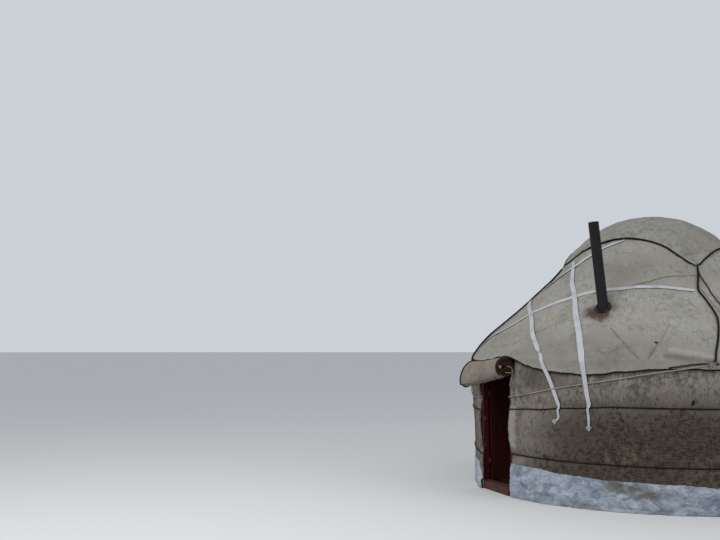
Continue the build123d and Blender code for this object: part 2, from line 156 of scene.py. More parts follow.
@dataclass(frozen=True)
class TentShape:
    """The tent's outer line, turned about its middle.

    Radii and heights are in metres, slopes and azimuths in degrees. An azimuth turns
    from the doorway at -Y towards +X.
    """

    centre: Place
    wall_radius: float = 2.300
    eave_radius: float = 2.3183
    eave_start: float = 1.583
    bend_radius: float = 0.060
    shoulder_slope: float = 51.8
    shoulder_radius: float = 2.700
    roof_slope: float = 41.0
    neck_radius: float = 3.000
    neck_slope: float = 53.5
    crown_reach: float = 1.043
    step: float = 0.01

    def line(self) -> list[tuple[float, float, float, float]]:
        """Walks the roof line from the crown's top down to the eave.

        Returns:
            Places as distance walked, radius, height and slope.
        """
        crown = self.crown_reach / sine(self.neck_slope)
        neck_run = self.neck_radius * (sine(self.neck_slope) - sine(self.roof_slope))
        shoulder_run = self.shoulder_radius * (sine(self.shoulder_slope) - sine(self.roof_slope))
        bend_run = self.bend_radius * (1 - sine(self.shoulder_slope))
        straight = self.eave_radius - bend_run - shoulder_run - neck_run - self.crown_reach
        runs = (
            (crown, 0.0, self.neck_slope),
            (self.neck_radius, self.neck_slope, self.roof_slope),
            (straight / cosine(self.roof_slope), self.roof_slope, self.roof_slope),
            (self.shoulder_radius, self.roof_slope, self.shoulder_slope),
            (self.bend_radius, self.shoulder_slope, 90.0),
        )
        walked, radius, height = 0.0, 0.0, 0.0
        places = [(walked, radius, height, 0.0)]
        for size, start, end in runs:
            level = start == end
            length = size if level else size * math.radians(abs(end - start))
            steps = max(2, round(length / self.step))
            for index in range(steps):
                slope = start + (end - start) * (index + 0.5) / steps
                radius += length / steps * cosine(slope)
                height -= length / steps * sine(slope)
                walked += length / steps
                places.append((walked, radius, height, start + (end - start) * (index + 1) / steps))
        lift = self.eave_start - height
        return [(walked, radius, height + lift, slope) for walked, radius, height, slope in places]


class Tent:
    """Places on the tent's skin, by azimuth and by distance or height."""

    door_half: float = 9.41
    knee_radius: float = 1.955
    knee_reach: float = 0.62
    upper_rope: float = 1.09
    lower_rope: float = 0.482
    porch_reach: Sequence[Place] = ((-9.5, 2.392), (-2.0, 2.412), (6.0, 2.425))
    left_line: Sequence[Place] = (
        (0.0, -0.012), (0.31, -0.012), (0.56, -0.010), (0.74, -0.006), (0.93, 0.005),
        (1.06, 0.013), (1.20, 0.022), (1.30, 0.023), (1.40, 0.010), (1.50, -0.004),
    )
    porch_edge: Sequence[Place] = ((-9.0, 1.576), (-1.0, 1.574), (4.7, 1.594), (9.2, 1.630), (12.0, 1.640))

    def __init__(self, shape: TentShape) -> None:
        """Keeps the shape and its walked line.

        Args:
            shape: The tent's outer line.
        """
        self.shape = shape
        self.places = shape.line()
        self.length = self.places[-1][0]

    def at(self, azimuth: float, radius: float, height: float) -> Vector:
        """Point at an azimuth, a radius and a height."""
        x, y = self.shape.centre
        return Vector((x + radius * sine(azimuth), y - radius * cosine(azimuth), height))

    def outwards(self, azimuth: float) -> Vector:
        """Level direction away from the tent's middle."""
        return Vector((sine(azimuth), -cosine(azimuth), 0.0))

    def walk(self, distance: float) -> tuple[float, float, float]:
        """Radius, height and slope at a distance walked from the crown's top.

        Args:
            distance: Metres along the roof line; past its end the line hangs straight down.

        Returns:
            Radius, height and slope there.
        """
        if distance >= self.length:
            _, radius, height, slope = self.places[-1]
            return radius, height - (distance - self.length), slope
        share = distance / self.length * (len(self.places) - 1)
        index = self.index_at(distance, int(share))
        first, last = self.places[index], self.places[index + 1]
        part = (distance - first[0]) / (last[0] - first[0])
        return tuple(first[item] + (last[item] - first[item]) * part for item in (1, 2, 3))

    def index_at(self, distance: float, guess: int) -> int:
        """Index of the stretch of the line that holds a distance.

        Args:
            distance: Metres walked from the crown's top.
            guess: Index at which the search starts.

        Returns:
            The index of the stretch's first place.
        """
        index = max(0, min(guess, len(self.places) - 2))
        while index > 0 and self.places[index][0] > distance:
            index -= 1
        while index < len(self.places) - 2 and self.places[index + 1][0] < distance:
            index += 1
        return index

    def distance_at(self, radius: float) -> float:
        """Distance walked at which the roof line reaches a radius."""
        for first, last in zip(self.places, self.places[1:]):
            if last[1] >= radius:
                part = (radius - first[1]) / max(1e-9, last[1] - first[1])
                return first[0] + (last[0] - first[0]) * part
        return self.length

    def roof(self, azimuth: float, distance: float, lift: float = 0.0) -> Vector:
        """Point on the roof skin, moved outwards by a lift.

        Args:
            azimuth: Degrees from the doorway.
            distance: Metres walked from the crown's top.
            lift: Metres outwards, square to the skin.

        Returns:
            The point, which over the doorway reaches out to rest on the rolled flap.
        """
        radius, height, slope = self.walk(distance)
        lift += 0.014 * swell(-37.0, -14.0, azimuth) * swell(1.95, 2.31, radius)
        point = self.at(azimuth, radius + lift * sine(slope), height + lift * cosine(slope))
        share = self.over_door(azimuth)
        if share > 0 and radius > self.knee_radius:
            point = point.lerp(self.porch(azimuth, distance, lift), share)
        return point

    def over_door(self, azimuth: float) -> float:
        """Share from 1 over the doorway to 0 beside it."""
        return 1 - ease(self.door_half + 1.8, self.door_half + 6.2, abs(azimuth))

    def porch(self, azimuth: float, distance: float, lift: float) -> Vector:
        """Point where the roof felt reaches out over the rolled flap.

        Args:
            azimuth: Degrees from the doorway.
            distance: Metres walked from the crown's top.
            lift: Metres outwards.

        Returns:
            A point on a curve from the straight roof to the felt's edge.
        """
        knee = self.distance_at(self.knee_radius)
        start = Vector(self.walk(knee)[:2])
        end = Vector((along_list(self.porch_reach, azimuth), along_list(self.porch_edge, azimuth)))
        slope = Vector((cosine(self.shape.roof_slope), -sine(self.shape.roof_slope)))
        middle = start + slope * (self.knee_reach * 0.5)
        share = (distance - knee) / self.knee_reach
        spot = start * (1 - share) ** 2 + middle * (2 * share * (1 - share)) + end * share**2
        ahead = ((middle - start) * (1 - share) + (end - middle) * share).normalized()
        spot += Vector((-ahead.y, ahead.x)) * lift
        return self.at(azimuth, spot.x, spot.y)

    def wall_bulge(self, azimuth: float, height: float) -> float:
        """How far the wall felt stands out between the ropes that cinch it.

        Args:
            azimuth: Degrees from the doorway.
            height: Metres above the ground.

        Returns:
            Metres outwards from the wall's radius, below 0 where the felt is drawn in.
        """
        upper, lower = self.upper_rope, self.lower_rope
        bulge = 0.020 * swell(0.49, upper, height) + 0.014 * swell(upper, 1.50, height)
        bulge += 0.012 * swell(-0.2, 0.48, height)
        pinch = 0.008 * (bell(height - upper, 0.03) + bell(height - lower, 0.03))
        place = self.at(azimuth, self.shape.wall_radius, height)
        stretched = Vector((place.x, place.y, place.z * 0.30))
        soft = 0.011 * cloud(stretched, 0.24) + 0.006 * cloud(stretched, 0.10) + 0.003 * cloud(place, 0.05)
        puckers = 0.004 * bell(height - upper, 0.09) * cloud(stretched, 0.045)
        puckers += 0.004 * bell(height - lower, 0.09) * cloud(stretched, 0.04)
        tuck = 1 - ease(1.36, 1.47, height)
        lift = bulge - pinch + soft * (0.4 + 0.6 * min(1.0, bulge / 0.016)) + puckers
        lift = lift * tuck - 0.004 * (1 - tuck)
        turned = (azimuth + 180) % 360 - 180
        left = ease(-95.0, -65.0, turned) * (1 - ease(-13.5, -11.0, turned))
        return lift + (along_list(self.left_line, height) + soft * 0.25 + puckers * 0.5 - lift) * left

    def wall(self, azimuth: float, height: float, lift: float = 0.0) -> Vector:
        """Point on the wall felt's outside, moved outwards by a lift."""
        return self.at(azimuth, self.shape.wall_radius + self.wall_bulge(azimuth, height) + lift, height)


class Wire:
    """A shader output that adds Math nodes when it is used in an expression."""

    def __init__(self, finish: "Finish", socket: bpy.types.NodeSocket) -> None:
        """Keeps the finish and the socket."""
        self.finish = finish
        self.socket = socket

    def maths(self, operation: str, *others: "Wire | float", clamp: bool = False) -> "Wire":
        """Result of one Math node on this value and others."""
        settings = {"operation": operation, "use_clamp": clamp}
        return self.finish.node("ShaderNodeMath", settings, dict(enumerate((self, *others))))

    def __add__(self, other: "Wire | float") -> "Wire":
        """Sum."""
        return self.maths("ADD", other)

    __radd__ = __add__

    def __mul__(self, other: "Wire | float") -> "Wire":
        """Product."""
        return self.maths("MULTIPLY", other)

    __rmul__ = __mul__

    def __sub__(self, other: "Wire | float") -> "Wire":
        """Difference."""
        return self.maths("SUBTRACT", other)

    def __rsub__(self, other: float) -> "Wire":
        """Difference with this value taken away."""
        return self.finish.node("ShaderNodeMath", {"operation": "SUBTRACT"}, {0: other, 1: self})

    def clamped(self) -> "Wire":
        """This value held between 0 and 1."""
        return self.maths("ADD", 0.0, clamp=True)

    def between(self, low: float, high: float) -> "Wire":
        """Share from 0 at low to 1 at high, with a soft start and end."""
        settings = {"interpolation_type": "SMOOTHSTEP"}
        return self.finish.node("ShaderNodeMapRange", settings, {0: self, 1: low, 2: high})


class Finish:
    """One procedural material, built through a single node method."""

    def __init__(self, name: str) -> None:
        """Starts an empty material.

        Args:
            name: The material's name.
        """
        self.material = bpy.data.materials.new(name)
        self.material.use_nodes = True
        self.tree = self.material.node_tree
        self.tree.nodes.clear()

    def node(
        self, kind: str, settings: dict | None = None, inputs: dict | None = None, output: int | str = 0
    ) -> Wire:
        """Adds a node, sets it and links it.

        Args:
            kind: The node's type.
            settings: Properties that are set before its sockets, or a ramp's stops.
            inputs: Values or wires by socket index or name.
            output: The output that is handed back.

        Returns:
            The chosen output.
        """
        made = self.tree.nodes.new(kind)
        for name, value in (settings or {}).items():
            if name == "stops":
                self.set_stops(made.color_ramp, value)
            else:
                setattr(made, name, value)
        for name, value in (inputs or {}).items():
            socket = made.inputs[name]
            if isinstance(value, Wire):
                self.tree.links.new(value.socket, socket)
            elif isinstance(value, tuple) and len(value) == 3 and socket.type == "RGBA":
                socket.default_value = (*value, 1.0)
            else:
                socket.default_value = value
        return Wire(self, made.outputs[output])

    @staticmethod
    def set_stops(ramp: bpy.types.ColorRamp, stops: Sequence[tuple[float, Colour]]) -> None:
        """Gives a colour ramp its stops."""
        while len(ramp.elements) < len(stops):
            ramp.elements.new(0.5)
        for element, (place, colour) in zip(ramp.elements, stops):
            element.position = place
            element.color = (*colour, 1.0)

    def place(self, stretch: Size = (1.0, 1.0, 1.0)) -> Wire:
        """Object coordinates in metres, stretched along the axes."""
        spot = self.node("ShaderNodeTexCoord", output="Object")
        if stretch == (1.0, 1.0, 1.0):
            return spot
        return self.node("ShaderNodeMapping", {}, {0: spot, "Scale": stretch})

    def flat_place(self, scale: Size) -> Wire:
        """The piece's own UV map, scaled."""
        spot = self.node("ShaderNodeTexCoord", output="UV")
        return self.node("ShaderNodeMapping", {}, {0: spot, "Scale": scale})

    def height(self) -> Wire:
        """Height above the ground."""
        return self.node("ShaderNodeSeparateXYZ", {}, {0: self.place()}, "Z")

    def noise(self, place: Wire, size: float, detail: float = 3.0, rough: float = 0.55) -> Wire:
        """Noise from 0 to 1 with lumps of a size in metres."""
        inputs = {"Vector": place, "Scale": 1.0 / size, "Detail": detail, "Roughness": rough}
        return self.node("ShaderNodeTexNoise", {}, inputs)

    def creases(self, place: Wire, size: float, sharp: float = 0.10) -> Wire:
        """Thin lines where smooth noise crosses its middle, 1 on the line and 0 beside it."""
        lumps = self.noise(place, size, 2.0, 0.45)
        return 1.0 - ((lumps - 0.5).maths("ABSOLUTE") * (1.0 / sharp)).clamped()

    def mix(self, first: "Wire | Colour", last: "Wire | Colour", share: "Wire | float") -> Wire:
        """Colour between two colours."""
        return self.node("ShaderNodeMix", {"data_type": "RGBA"}, {0: share, 6: first, 7: last}, 2)

    def vector(self, operation: str, inputs: dict, output: int | str = 0) -> Wire:
        """Result of one Vector Math node."""
        return self.node("ShaderNodeVectorMath", {"operation": operation}, inputs, output)

    def near(self, centre: Vector, size: Size) -> Wire:
        """Distance from a point, counted in a size along each axis."""
        away = self.vector("SUBTRACT", {0: self.place(), 1: tuple(centre)})
        return self.vector("LENGTH", {0: self.vector("DIVIDE", {0: away, 1: size})}, "Value")

    def along(self, start: Vector, end: Vector) -> Wire:
        """Distance in metres from a straight run between two points.

        Args:
            start: First end of the run.
            end: Last end of the run.

        Returns:
            The distance.
        """
        run = end - start
        away = self.vector("SUBTRACT", {0: self.place(), 1: tuple(start)})
        ahead = self.vector("DOT_PRODUCT", {0: away, 1: tuple(run / run.length_squared)}, "Value")
        reached = self.vector("SCALE", {0: tuple(run), "Scale": ahead.clamped()})
        return self.vector("LENGTH", {0: self.vector("SUBTRACT", {0: away, 1: reached})}, "Value")

    def close(
        self,
        colour: "Wire | Colour",
        rough: "Wire | float",
        relief: Wire | None = None,
        depth: float = 0.001,
        metallic: "Wire | float" = 0.0,
        shine: float = 0.5,
    ) -> Material:
        """Ends the material in one Principled shader.

        Args:
            colour: Base colour.
            rough: Roughness.
            relief: Height from 0 to 1 for the bump.
            depth: Metres of that bump.
            metallic: Metallic share.
            shine: Level of the plain reflection.

        Returns:
            The finished material.
        """
        inputs = {"Base Color": colour, "Roughness": rough, "Metallic": metallic}
        inputs["Specular IOR Level"] = shine
        if relief is not None:
            bump = {"Height": relief, "Distance": depth, "Strength": 1.0}
            inputs["Normal"] = self.node("ShaderNodeBump", {}, bump)
        shader = self.node("ShaderNodeBsdfPrincipled", {}, inputs)
        made = self.tree.nodes.new("ShaderNodeOutputMaterial")
        self.tree.links.new(shader.socket, made.inputs["Surface"])
        return self.material


@dataclass(frozen=True)
class Mark:
    """A line or spot on a finish: a hole, a rusty patch, painted shade along a crease or a painted
    highlight.
    """

    start: Vector
    end: Vector
    width: float
    colour: Colour
    strength: float = 0.8
    ragged: float = 0.5


@dataclass(frozen=True)
class Soak:
    """A brown soaked patch, as an ellipsoid that its edge noise frays."""

    centre: Vector
    size: Size
    strength: float


@dataclass(frozen=True)
class FeltFinish:
    """Weathered pressed felt: pale wool, streaks and mottles, brown soaked patches and fibres."""

    name: str
    pale: Colour
    dull: Colour
    soaked_light: Colour = (0.13, 0.11, 0.085)
    soaked_dark: Colour = (0.09, 0.075, 0.058)
    soak: tuple[float, float] = (0.60, 0.78)
    soaks: Sequence[Soak] = ()
    marks: Sequence[Mark] = ()
    flat: Place = (3.6, 2.4)
    spread: Place = (0.50, 0.68)
    laths: bool = False

    def dress(self) -> Material:
        """Builds the material.

        Returns:
            The finished material.
        """
        make = Finish(self.name)
        place = make.place()
        wide, tall = self.flat
        broad = make.noise(place, 0.85, 3.0, 0.55)
        patch = make.noise(place, 0.24, 4.0, 0.60)
        mottle = make.noise(place, 0.060, 5.0, 0.68)
        speck = make.noise(place, 0.012, 4.0, 0.75)
        streak = make.noise(make.flat_place((wide, tall * 0.26, 1.0)), 0.026, 4.0, 0.62)
        thread = make.noise(make.flat_place((wide * 0.30, tall, 1.0)), 0.018, 3.0, 0.62)
        fibre = make.noise(make.place((1.0, 1.0, 0.5)), 0.0035, 3.0, 0.6)
        shade = patch * 0.24 + mottle * 0.30 + speck * 0.18 + streak * 0.30 + thread * 0.12
        colour = make.mix(self.pale, self.dull, shade.between(*self.spread))
        colour = make.mix(colour, self.dull, (broad * 0.6 + patch * 0.4).between(0.47, 0.62) * 0.28)
        warm = tuple(item * factor for item, factor in zip(self.pale, (0.86, 0.80, 0.74)))
        colour = make.mix(colour, warm, make.noise(place, 0.36, 4.0, 0.6).between(0.48, 0.66) * 0.55)
        dark = (mottle * 0.22 + speck * 0.34 + streak * 0.16 + thread * 0.36).between(0.47, 0.61)
        soaked = make.mix(self.soaked_dark, self.soaked_light, dark)
        share = (patch * 0.50 + broad * 0.35 + mottle * 0.20).between(*self.soak) * 0.85
        frayed = (patch - 0.5) * 1.1 + (mottle - 0.5) * 1.8 + (streak - 0.5) * 0.7
        for soak in self.soaks:
            away = make.near(soak.centre, soak.size) + frayed
            reach = (1.0 - away.between(0.35, 1.35)) * soak.strength
            share = share + reach - share * reach
        colour = make.mix(colour, soaked, share.clamped())
        grains = make.noise(place, 0.007, 2.0, 0.85)
        colour = make.mix(colour, self.soaked_dark, grains.between(0.60, 0.74) * 0.35)
        light = tuple(min(1.0, item * 1.25) for item in self.pale)
        colour = make.mix(colour, light, (1.0 - grains.between(0.28, 0.38)) * 0.30)
        relief = patch * 0.20 + mottle * 0.35 + streak * 0.22 + speck * 0.40 + fibre * 0.30
        if self.laths:
            wave = {"Vector": place, "Scale": 17.0, "Distortion": 1.5}
            rows = make.node("ShaderNodeTexWave", {"bands_direction": "Z"}, wave)
            colour = make.mix(colour, self.soaked_dark, rows.between(0.45, 0.95) * share.clamped() * 0.30)
        # Marks mix the colour towards their own: real holes, rust and wear, and also painted shade and
        # painted highlights.
        for mark in self.marks:
            away = make.along(mark.start, mark.end) * (1.0 / mark.width)
            away = away + (mottle - 0.5) * mark.ragged * 2.0
            colour = make.mix(colour, mark.colour, (1.0 - away.between(0.25, 1.0)) * mark.strength)
        return make.close(colour, 0.95, relief, 0.005, shine=0.10)


@dataclass(frozen=True)
class SheetFinish:
    """Crumpled pale plastic sheet with painted light and shade over its folds and creases, dirty at its foot
    and brown in patches.
    """

    name: str
    pale: Colour = (0.285, 0.323, 0.380)
    shade: Colour = (0.138, 0.168, 0.211)
    # line is the colour of the painted highlights along the creases.
    line: Colour = (0.44, 0.475, 0.525)
    dirt: Colour = (0.085, 0.072, 0.060)
    stain_spots: Sequence[Vector] = ()
    # Middle of a painted pool of light, where the sheet is mixed towards the highlight colour.
    painted_light_spot: Vector | None = None

    def dress(self) -> Material:
        """Builds the material.

        Returns:
            The finished material.
        """
        make = Finish(self.name)
        place = make.place()
        slanted = make.place((1.0, 1.0, 1.5))
        broad = make.noise(place, 0.30, 3.0, 0.55)
        folds = make.noise(slanted, 0.13, 3.0, 0.50)
        large = make.creases(slanted, 0.26, 0.022)
        small = make.creases(make.place((1.0, 1.0, 1.9)), 0.11, 0.030)
        fine = make.creases(make.place((1.3, 0.9, 1.6)), 0.055, 0.040)
        # Painted light and shade over the folds, painted shade in the fine creases and painted highlights
        # along the larger creases.
        colour = make.mix(self.shade, self.pale, (broad * 0.40 + folds * 0.65).between(0.38, 0.66))
        colour = make.mix(colour, self.shade, fine * 0.35)
        colour = make.mix(colour, self.line, (large * 0.75 + small * 0.55).clamped() * 0.70)
        specks = make.noise(place, 0.014, 4.0, 0.7)
        foot = 1.0 - (make.height() + (broad - 0.5) * 0.14 + (folds - 0.5) * 0.06).between(0.0, 0.060)
        # A painted pool of light round the given spot.
        if self.painted_light_spot is not None:
            away = make.near(self.painted_light_spot, (0.30, 0.30, 0.40)) + (folds - 0.5) * 0.8
            colour = make.mix(colour, self.line, (1.0 - away.between(0.4, 1.2)) * 0.62)
        colour = make.mix(colour, self.dirt, foot * 0.45)
        colour = make.mix(colour, self.dirt, specks.between(0.60, 0.72) * 0.22)
        for spot in self.stain_spots:
            away = make.near(spot, (0.17, 0.17, 0.058)) + (folds - 0.5) * 2.0 + (specks - 0.5) * 1.2
            colour = make.mix(colour, self.dirt, (1.0 - away.between(0.25, 1.45)) * 0.85)
        relief = folds * 0.5 + large * 0.22 + small * 0.14 + fine * 0.05 + specks * 0.02
        return make.close(colour, 0.40 + specks * 0.25, relief, 0.009, shine=0.35)


@dataclass(frozen=True)
class RopeFinish:
    """Twisted rope or cord of hair or fibre."""

    name: str
    colour: Colour
    worn: Colour
    rough: float = 0.9

    def dress(self) -> Material:
        """Builds the material.

        Returns:
            The finished material.
        """
        make = Finish(self.name)
        place = make.place()
        hairs = make.noise(place, 0.004, 3.0, 0.7)
        broad = make.noise(place, 0.12, 2.0)
        colour = make.mix(self.colour, self.worn, (hairs * 0.6 + broad * 0.5).between(0.45, 0.75))
        return make.close(colour, self.rough, hairs, 0.002, shine=0.15)


@dataclass(frozen=True)
class TapeFinish:
    """Woven tape: fine ribs across it and a little dirt."""

    name: str
    colour: Colour = (0.425, 0.433, 0.458)
    dirty: Colour = (0.290, 0.288, 0.288)
    length: float = 3.0

    def dress(self) -> Material:
        """Builds the material.

        Returns:
            The finished material.
        """
        make = Finish(self.name)
        place = make.place()
        broad = make.noise(place, 0.16, 4.0, 0.6)
        speck = make.noise(place, 0.012, 3.0, 0.6)
        across = make.flat_place((1.0, self.length, 1.0))
        ribs = make.node("ShaderNodeTexWave", {"bands_direction": "Y"}, {"Vector": across, "Scale": 60.0})
        cords = make.node("ShaderNodeTexWave", {"bands_direction": "X"}, {"Vector": across, "Scale": 4.0})
        colour = make.mix(self.colour, self.dirty, (broad * 0.75 + speck * 0.35).between(0.48, 0.80))
        return make.close(colour, 0.85, ribs * 0.5 + cords * 0.3 + speck * 0.4, 0.0012)


@dataclass(frozen=True)
class WoodFinish:
    """Wood with grain along one axis, bare or under old paint."""

    name: str
    colour: Colour
    dark: Colour
    grain: Size = (9.0, 9.0, 0.6)
    worn: Colour | None = None
    worn_level: float = 0.70
    rough: float = 0.70
    shine: float = 0.18

    def dress(self) -> Material:
        """Builds the material.

        Returns:
            The finished material.
        """
        make = Finish(self.name)
        grain = make.noise(make.place(self.grain), 0.12, 5.0, 0.6)
        fine = make.noise(make.place(tuple(item * 4 for item in self.grain)), 0.10, 4.0, 0.7)
        place = make.place()
        broad = make.noise(place, 0.25, 4.0, 0.6)
        colour = make.mix(self.colour, self.dark, (grain * 0.7 + fine * 0.4).between(0.42, 0.72))
        if self.worn is not None:
            chips = broad * 0.5 + fine * 0.35 + make.noise(place, 0.02, 4.0, 0.7) * 0.35
            colour = make.mix(colour, self.worn, chips.between(self.worn_level, self.worn_level + 0.05))
        rough = self.rough + (fine - 0.5) * 0.25
        return make.close(colour, rough, grain * 0.5 + fine * 0.5, 0.0025, shine=self.shine)


@dataclass(frozen=True)
class SteelFinish:
    """Sooty or worn steel with rust that gathers in patches."""

    name: str
    colour: Colour
    rust: Colour
    rust_low: float = 0.50
    rust_high: float = 0.68
    rough: float = 0.55
    stretch: Size = (1.0, 1.0, 0.35)
    rusty_from: float | None = None
    bare_metal: float = 0.55
    shine: float = 0.5

    def dress(self) -> Material:
        """Builds the material.

        Returns:
            The finished material.
        """
        make = Finish(self.name)
        place = make.place(self.stretch)
        broad = make.noise(place, 0.11, 5.0, 0.62)
        speck = make.noise(make.place(), 0.008, 4.0, 0.7)
        rust = (broad * 0.75 + speck * 0.3).between(self.rust_low, self.rust_high)
        if self.rusty_from is not None:
            top = (make.height() + (broad - 0.5) * 0.3).between(self.rusty_from, self.rusty_from + 0.25)
            rust = (rust * 0.6 + top * 0.85).clamped()
        colour = make.mix(self.colour, self.rust, rust)
        rough = self.rough + rust * 0.3
        bare = (1.0 - rust) * self.bare_metal
        return make.close(colour, rough, speck * 0.5 + rust * 0.5, 0.0015, bare, self.shine)


class Shading(Enum):
    """Ways in which a new mesh is shaded."""

    SMOOTH = "smooth"
    BY_ANGLE = "by angle"


class Workshop:
    """Makes meshes with Blender's operators and finishes them."""

    merge_distance: float = 1e-5

    @staticmethod
    def clear_choice() -> None:
        """Deselects everything, in object mode."""
        if bpy.context.object and bpy.context.object.mode != "OBJECT":
            bpy.ops.object.mode_set(mode="OBJECT")
        bpy.ops.object.select_all(action="DESELECT")

    @staticmethod
    def choose(piece: Piece) -> None:
        """Makes one object the only selected and active one."""
        Workshop.clear_choice()
        piece.select_set(True)
        bpy.context.view_layer.objects.active = piece

    @staticmethod
    def grid(name: str, across: int, along: int, place: Mapping) -> Piece:
        """Adds a grid and moves each of its points to its place.

        Args:
            name: The piece's name.
            across: Divisions over the first share.
            along: Divisions over the second share.
            place: Gives the point for two shares from 0 to 1.

        Returns:
            The new object.
        """
        Workshop.clear_choice()
        bpy.ops.mesh.primitive_grid_add(x_subdivisions=across, y_subdivisions=along, size=2.0)
        piece = bpy.context.object
        piece.name = name
        piece.data.name = name
        for vertex in piece.data.vertices:
            vertex.co = place((vertex.co.x + 1) / 2, (vertex.co.y + 1) / 2)
        piece.location = (0.0, 0.0, 0.0)
        return piece

    @staticmethod
    def apply(piece: Piece, kind: str, **values: object) -> None:
        """Adds a modifier, sets it and applies it."""
        Workshop.choose(piece)
        modifier = piece.modifiers.new(kind.lower(), kind)
        for name, value in values.items():
            setattr(modifier, name, value)
        bpy.ops.object.modifier_apply(modifier=modifier.name)

    @staticmethod
    def thicken(piece: Piece, thickness: float, offset: float = -1.0) -> None:
        """Gives a sheet its thickness."""
        Workshop.apply(piece, "SOLIDIFY", thickness=thickness, offset=offset, use_even_offset=False)

    @staticmethod
    def close_up(piece: Piece) -> None:
        """Merges doubled points and turns the faces outwards.

        Args:
            piece: The piece.
        """
        Workshop.choose(piece)
        bpy.ops.object.mode_set(mode="EDIT")
        bpy.ops.mesh.select_all(action="SELECT")
        bpy.ops.mesh.remove_doubles(threshold=Workshop.merge_distance)
        bpy.ops.mesh.normals_make_consistent(inside=False)
        bpy.ops.object.mode_set(mode="OBJECT")

    @staticmethod
    def fill_ends(piece: Piece) -> None:
        """Closes the open ends of a tube.

        Args:
            piece: The tube.
        """
        Workshop.choose(piece)
        bpy.ops.object.mode_set(mode="EDIT")
        bpy.ops.mesh.select_all(action="DESELECT")
        bpy.ops.mesh.select_mode(type="EDGE")
        bpy.ops.mesh.select_non_manifold(extend=False, use_boundary=True)
        bpy.ops.mesh.edge_face_add()
        bpy.ops.mesh.select_all(action="SELECT")
        bpy.ops.mesh.normals_make_consistent(inside=False)
        bpy.ops.object.mode_set(mode="OBJECT")

    @staticmethod
    def shade(piece: Piece, way: Shading = Shading.SMOOTH, angle: float = 35.0) -> None:
        """Shades a piece smooth, or smooth under an angle.

        Args:
            piece: The piece.
            way: How it is shaded.
            angle: Degrees between faces up to which their edge is smooth.
        """
        Workshop.choose(piece)
        if way is Shading.SMOOTH:
            bpy.ops.object.shade_smooth()
        else:
            bpy.ops.object.shade_smooth_by_angle(angle=math.radians(angle))

    @staticmethod
    def turn_over(piece: Piece) -> None:
        """Turns every face of a sheet to its other side."""
        Workshop.choose(piece)
        bpy.ops.object.mode_set(mode="EDIT")
        bpy.ops.mesh.select_all(action="SELECT")
        bpy.ops.mesh.flip_normals()
        bpy.ops.object.mode_set(mode="OBJECT")

    @staticmethod
    def sheet(
        name: str,
        divisions: tuple[int, int],
        place: Mapping,
        thickness: float,
        angle: float = 60.0,
        mirrored: bool = False,
    ) -> Piece:
        """Makes a sheet of felt or plastic, with its thickness on the inside.

        Args:
            name: The piece's name.
            divisions: Divisions over the first and the second share.
            place: Gives the point of the outside for two shares from 0 to 1.
            thickness: Metres of the sheet.
            angle: Degrees between faces up to which their edge is smooth.
            mirrored: Whether the first share runs the other way round the tent.

        Returns:
            The sheet as a closed mesh.
        """
        piece = Workshop.grid(name, *divisions, place)
        if mirrored:
            Workshop.turn_over(piece)
        Workshop.thicken(piece, thickness)
        Workshop.close_up(piece)
        Workshop.shade(piece, Shading.BY_ANGLE, angle)
        return piece

    @staticmethod
    def dress(piece: Piece, material: Material) -> None:
        """Gives a piece its only material."""
        piece.data.materials.clear()
        piece.data.materials.append(material)

    @staticmethod
    def settle(piece: Piece) -> None:
        """Moves an object's place into its mesh."""
        Workshop.choose(piece)
        bpy.ops.object.transform_apply(location=True, rotation=True, scale=True)

    @staticmethod
    def ready(piece: Piece, material: Material, body: str, slot: str, *nodes: str) -> None:
        """Dresses a piece, puts it on its body and hides the CAD nodes that it replaces.

        Args:
            piece: The new piece.
            material: Its finish.
            body: The body that it rides on.
            slot: The record's material slot; not used.
            nodes: CAD nodes that it replaces.
        """
        Workshop.dress(piece, material)
        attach(piece, body)
        if nodes:
            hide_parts(*nodes)
        LOG.info("made %s with %d faces", piece.name, len(piece.data.polygons))


@dataclass(frozen=True)
class Twist:
    """How a rope is laid: half its thickness, its strands, one turn's length, points round it."""

    radius: float
    strands: int
    lay: float
    sides: int


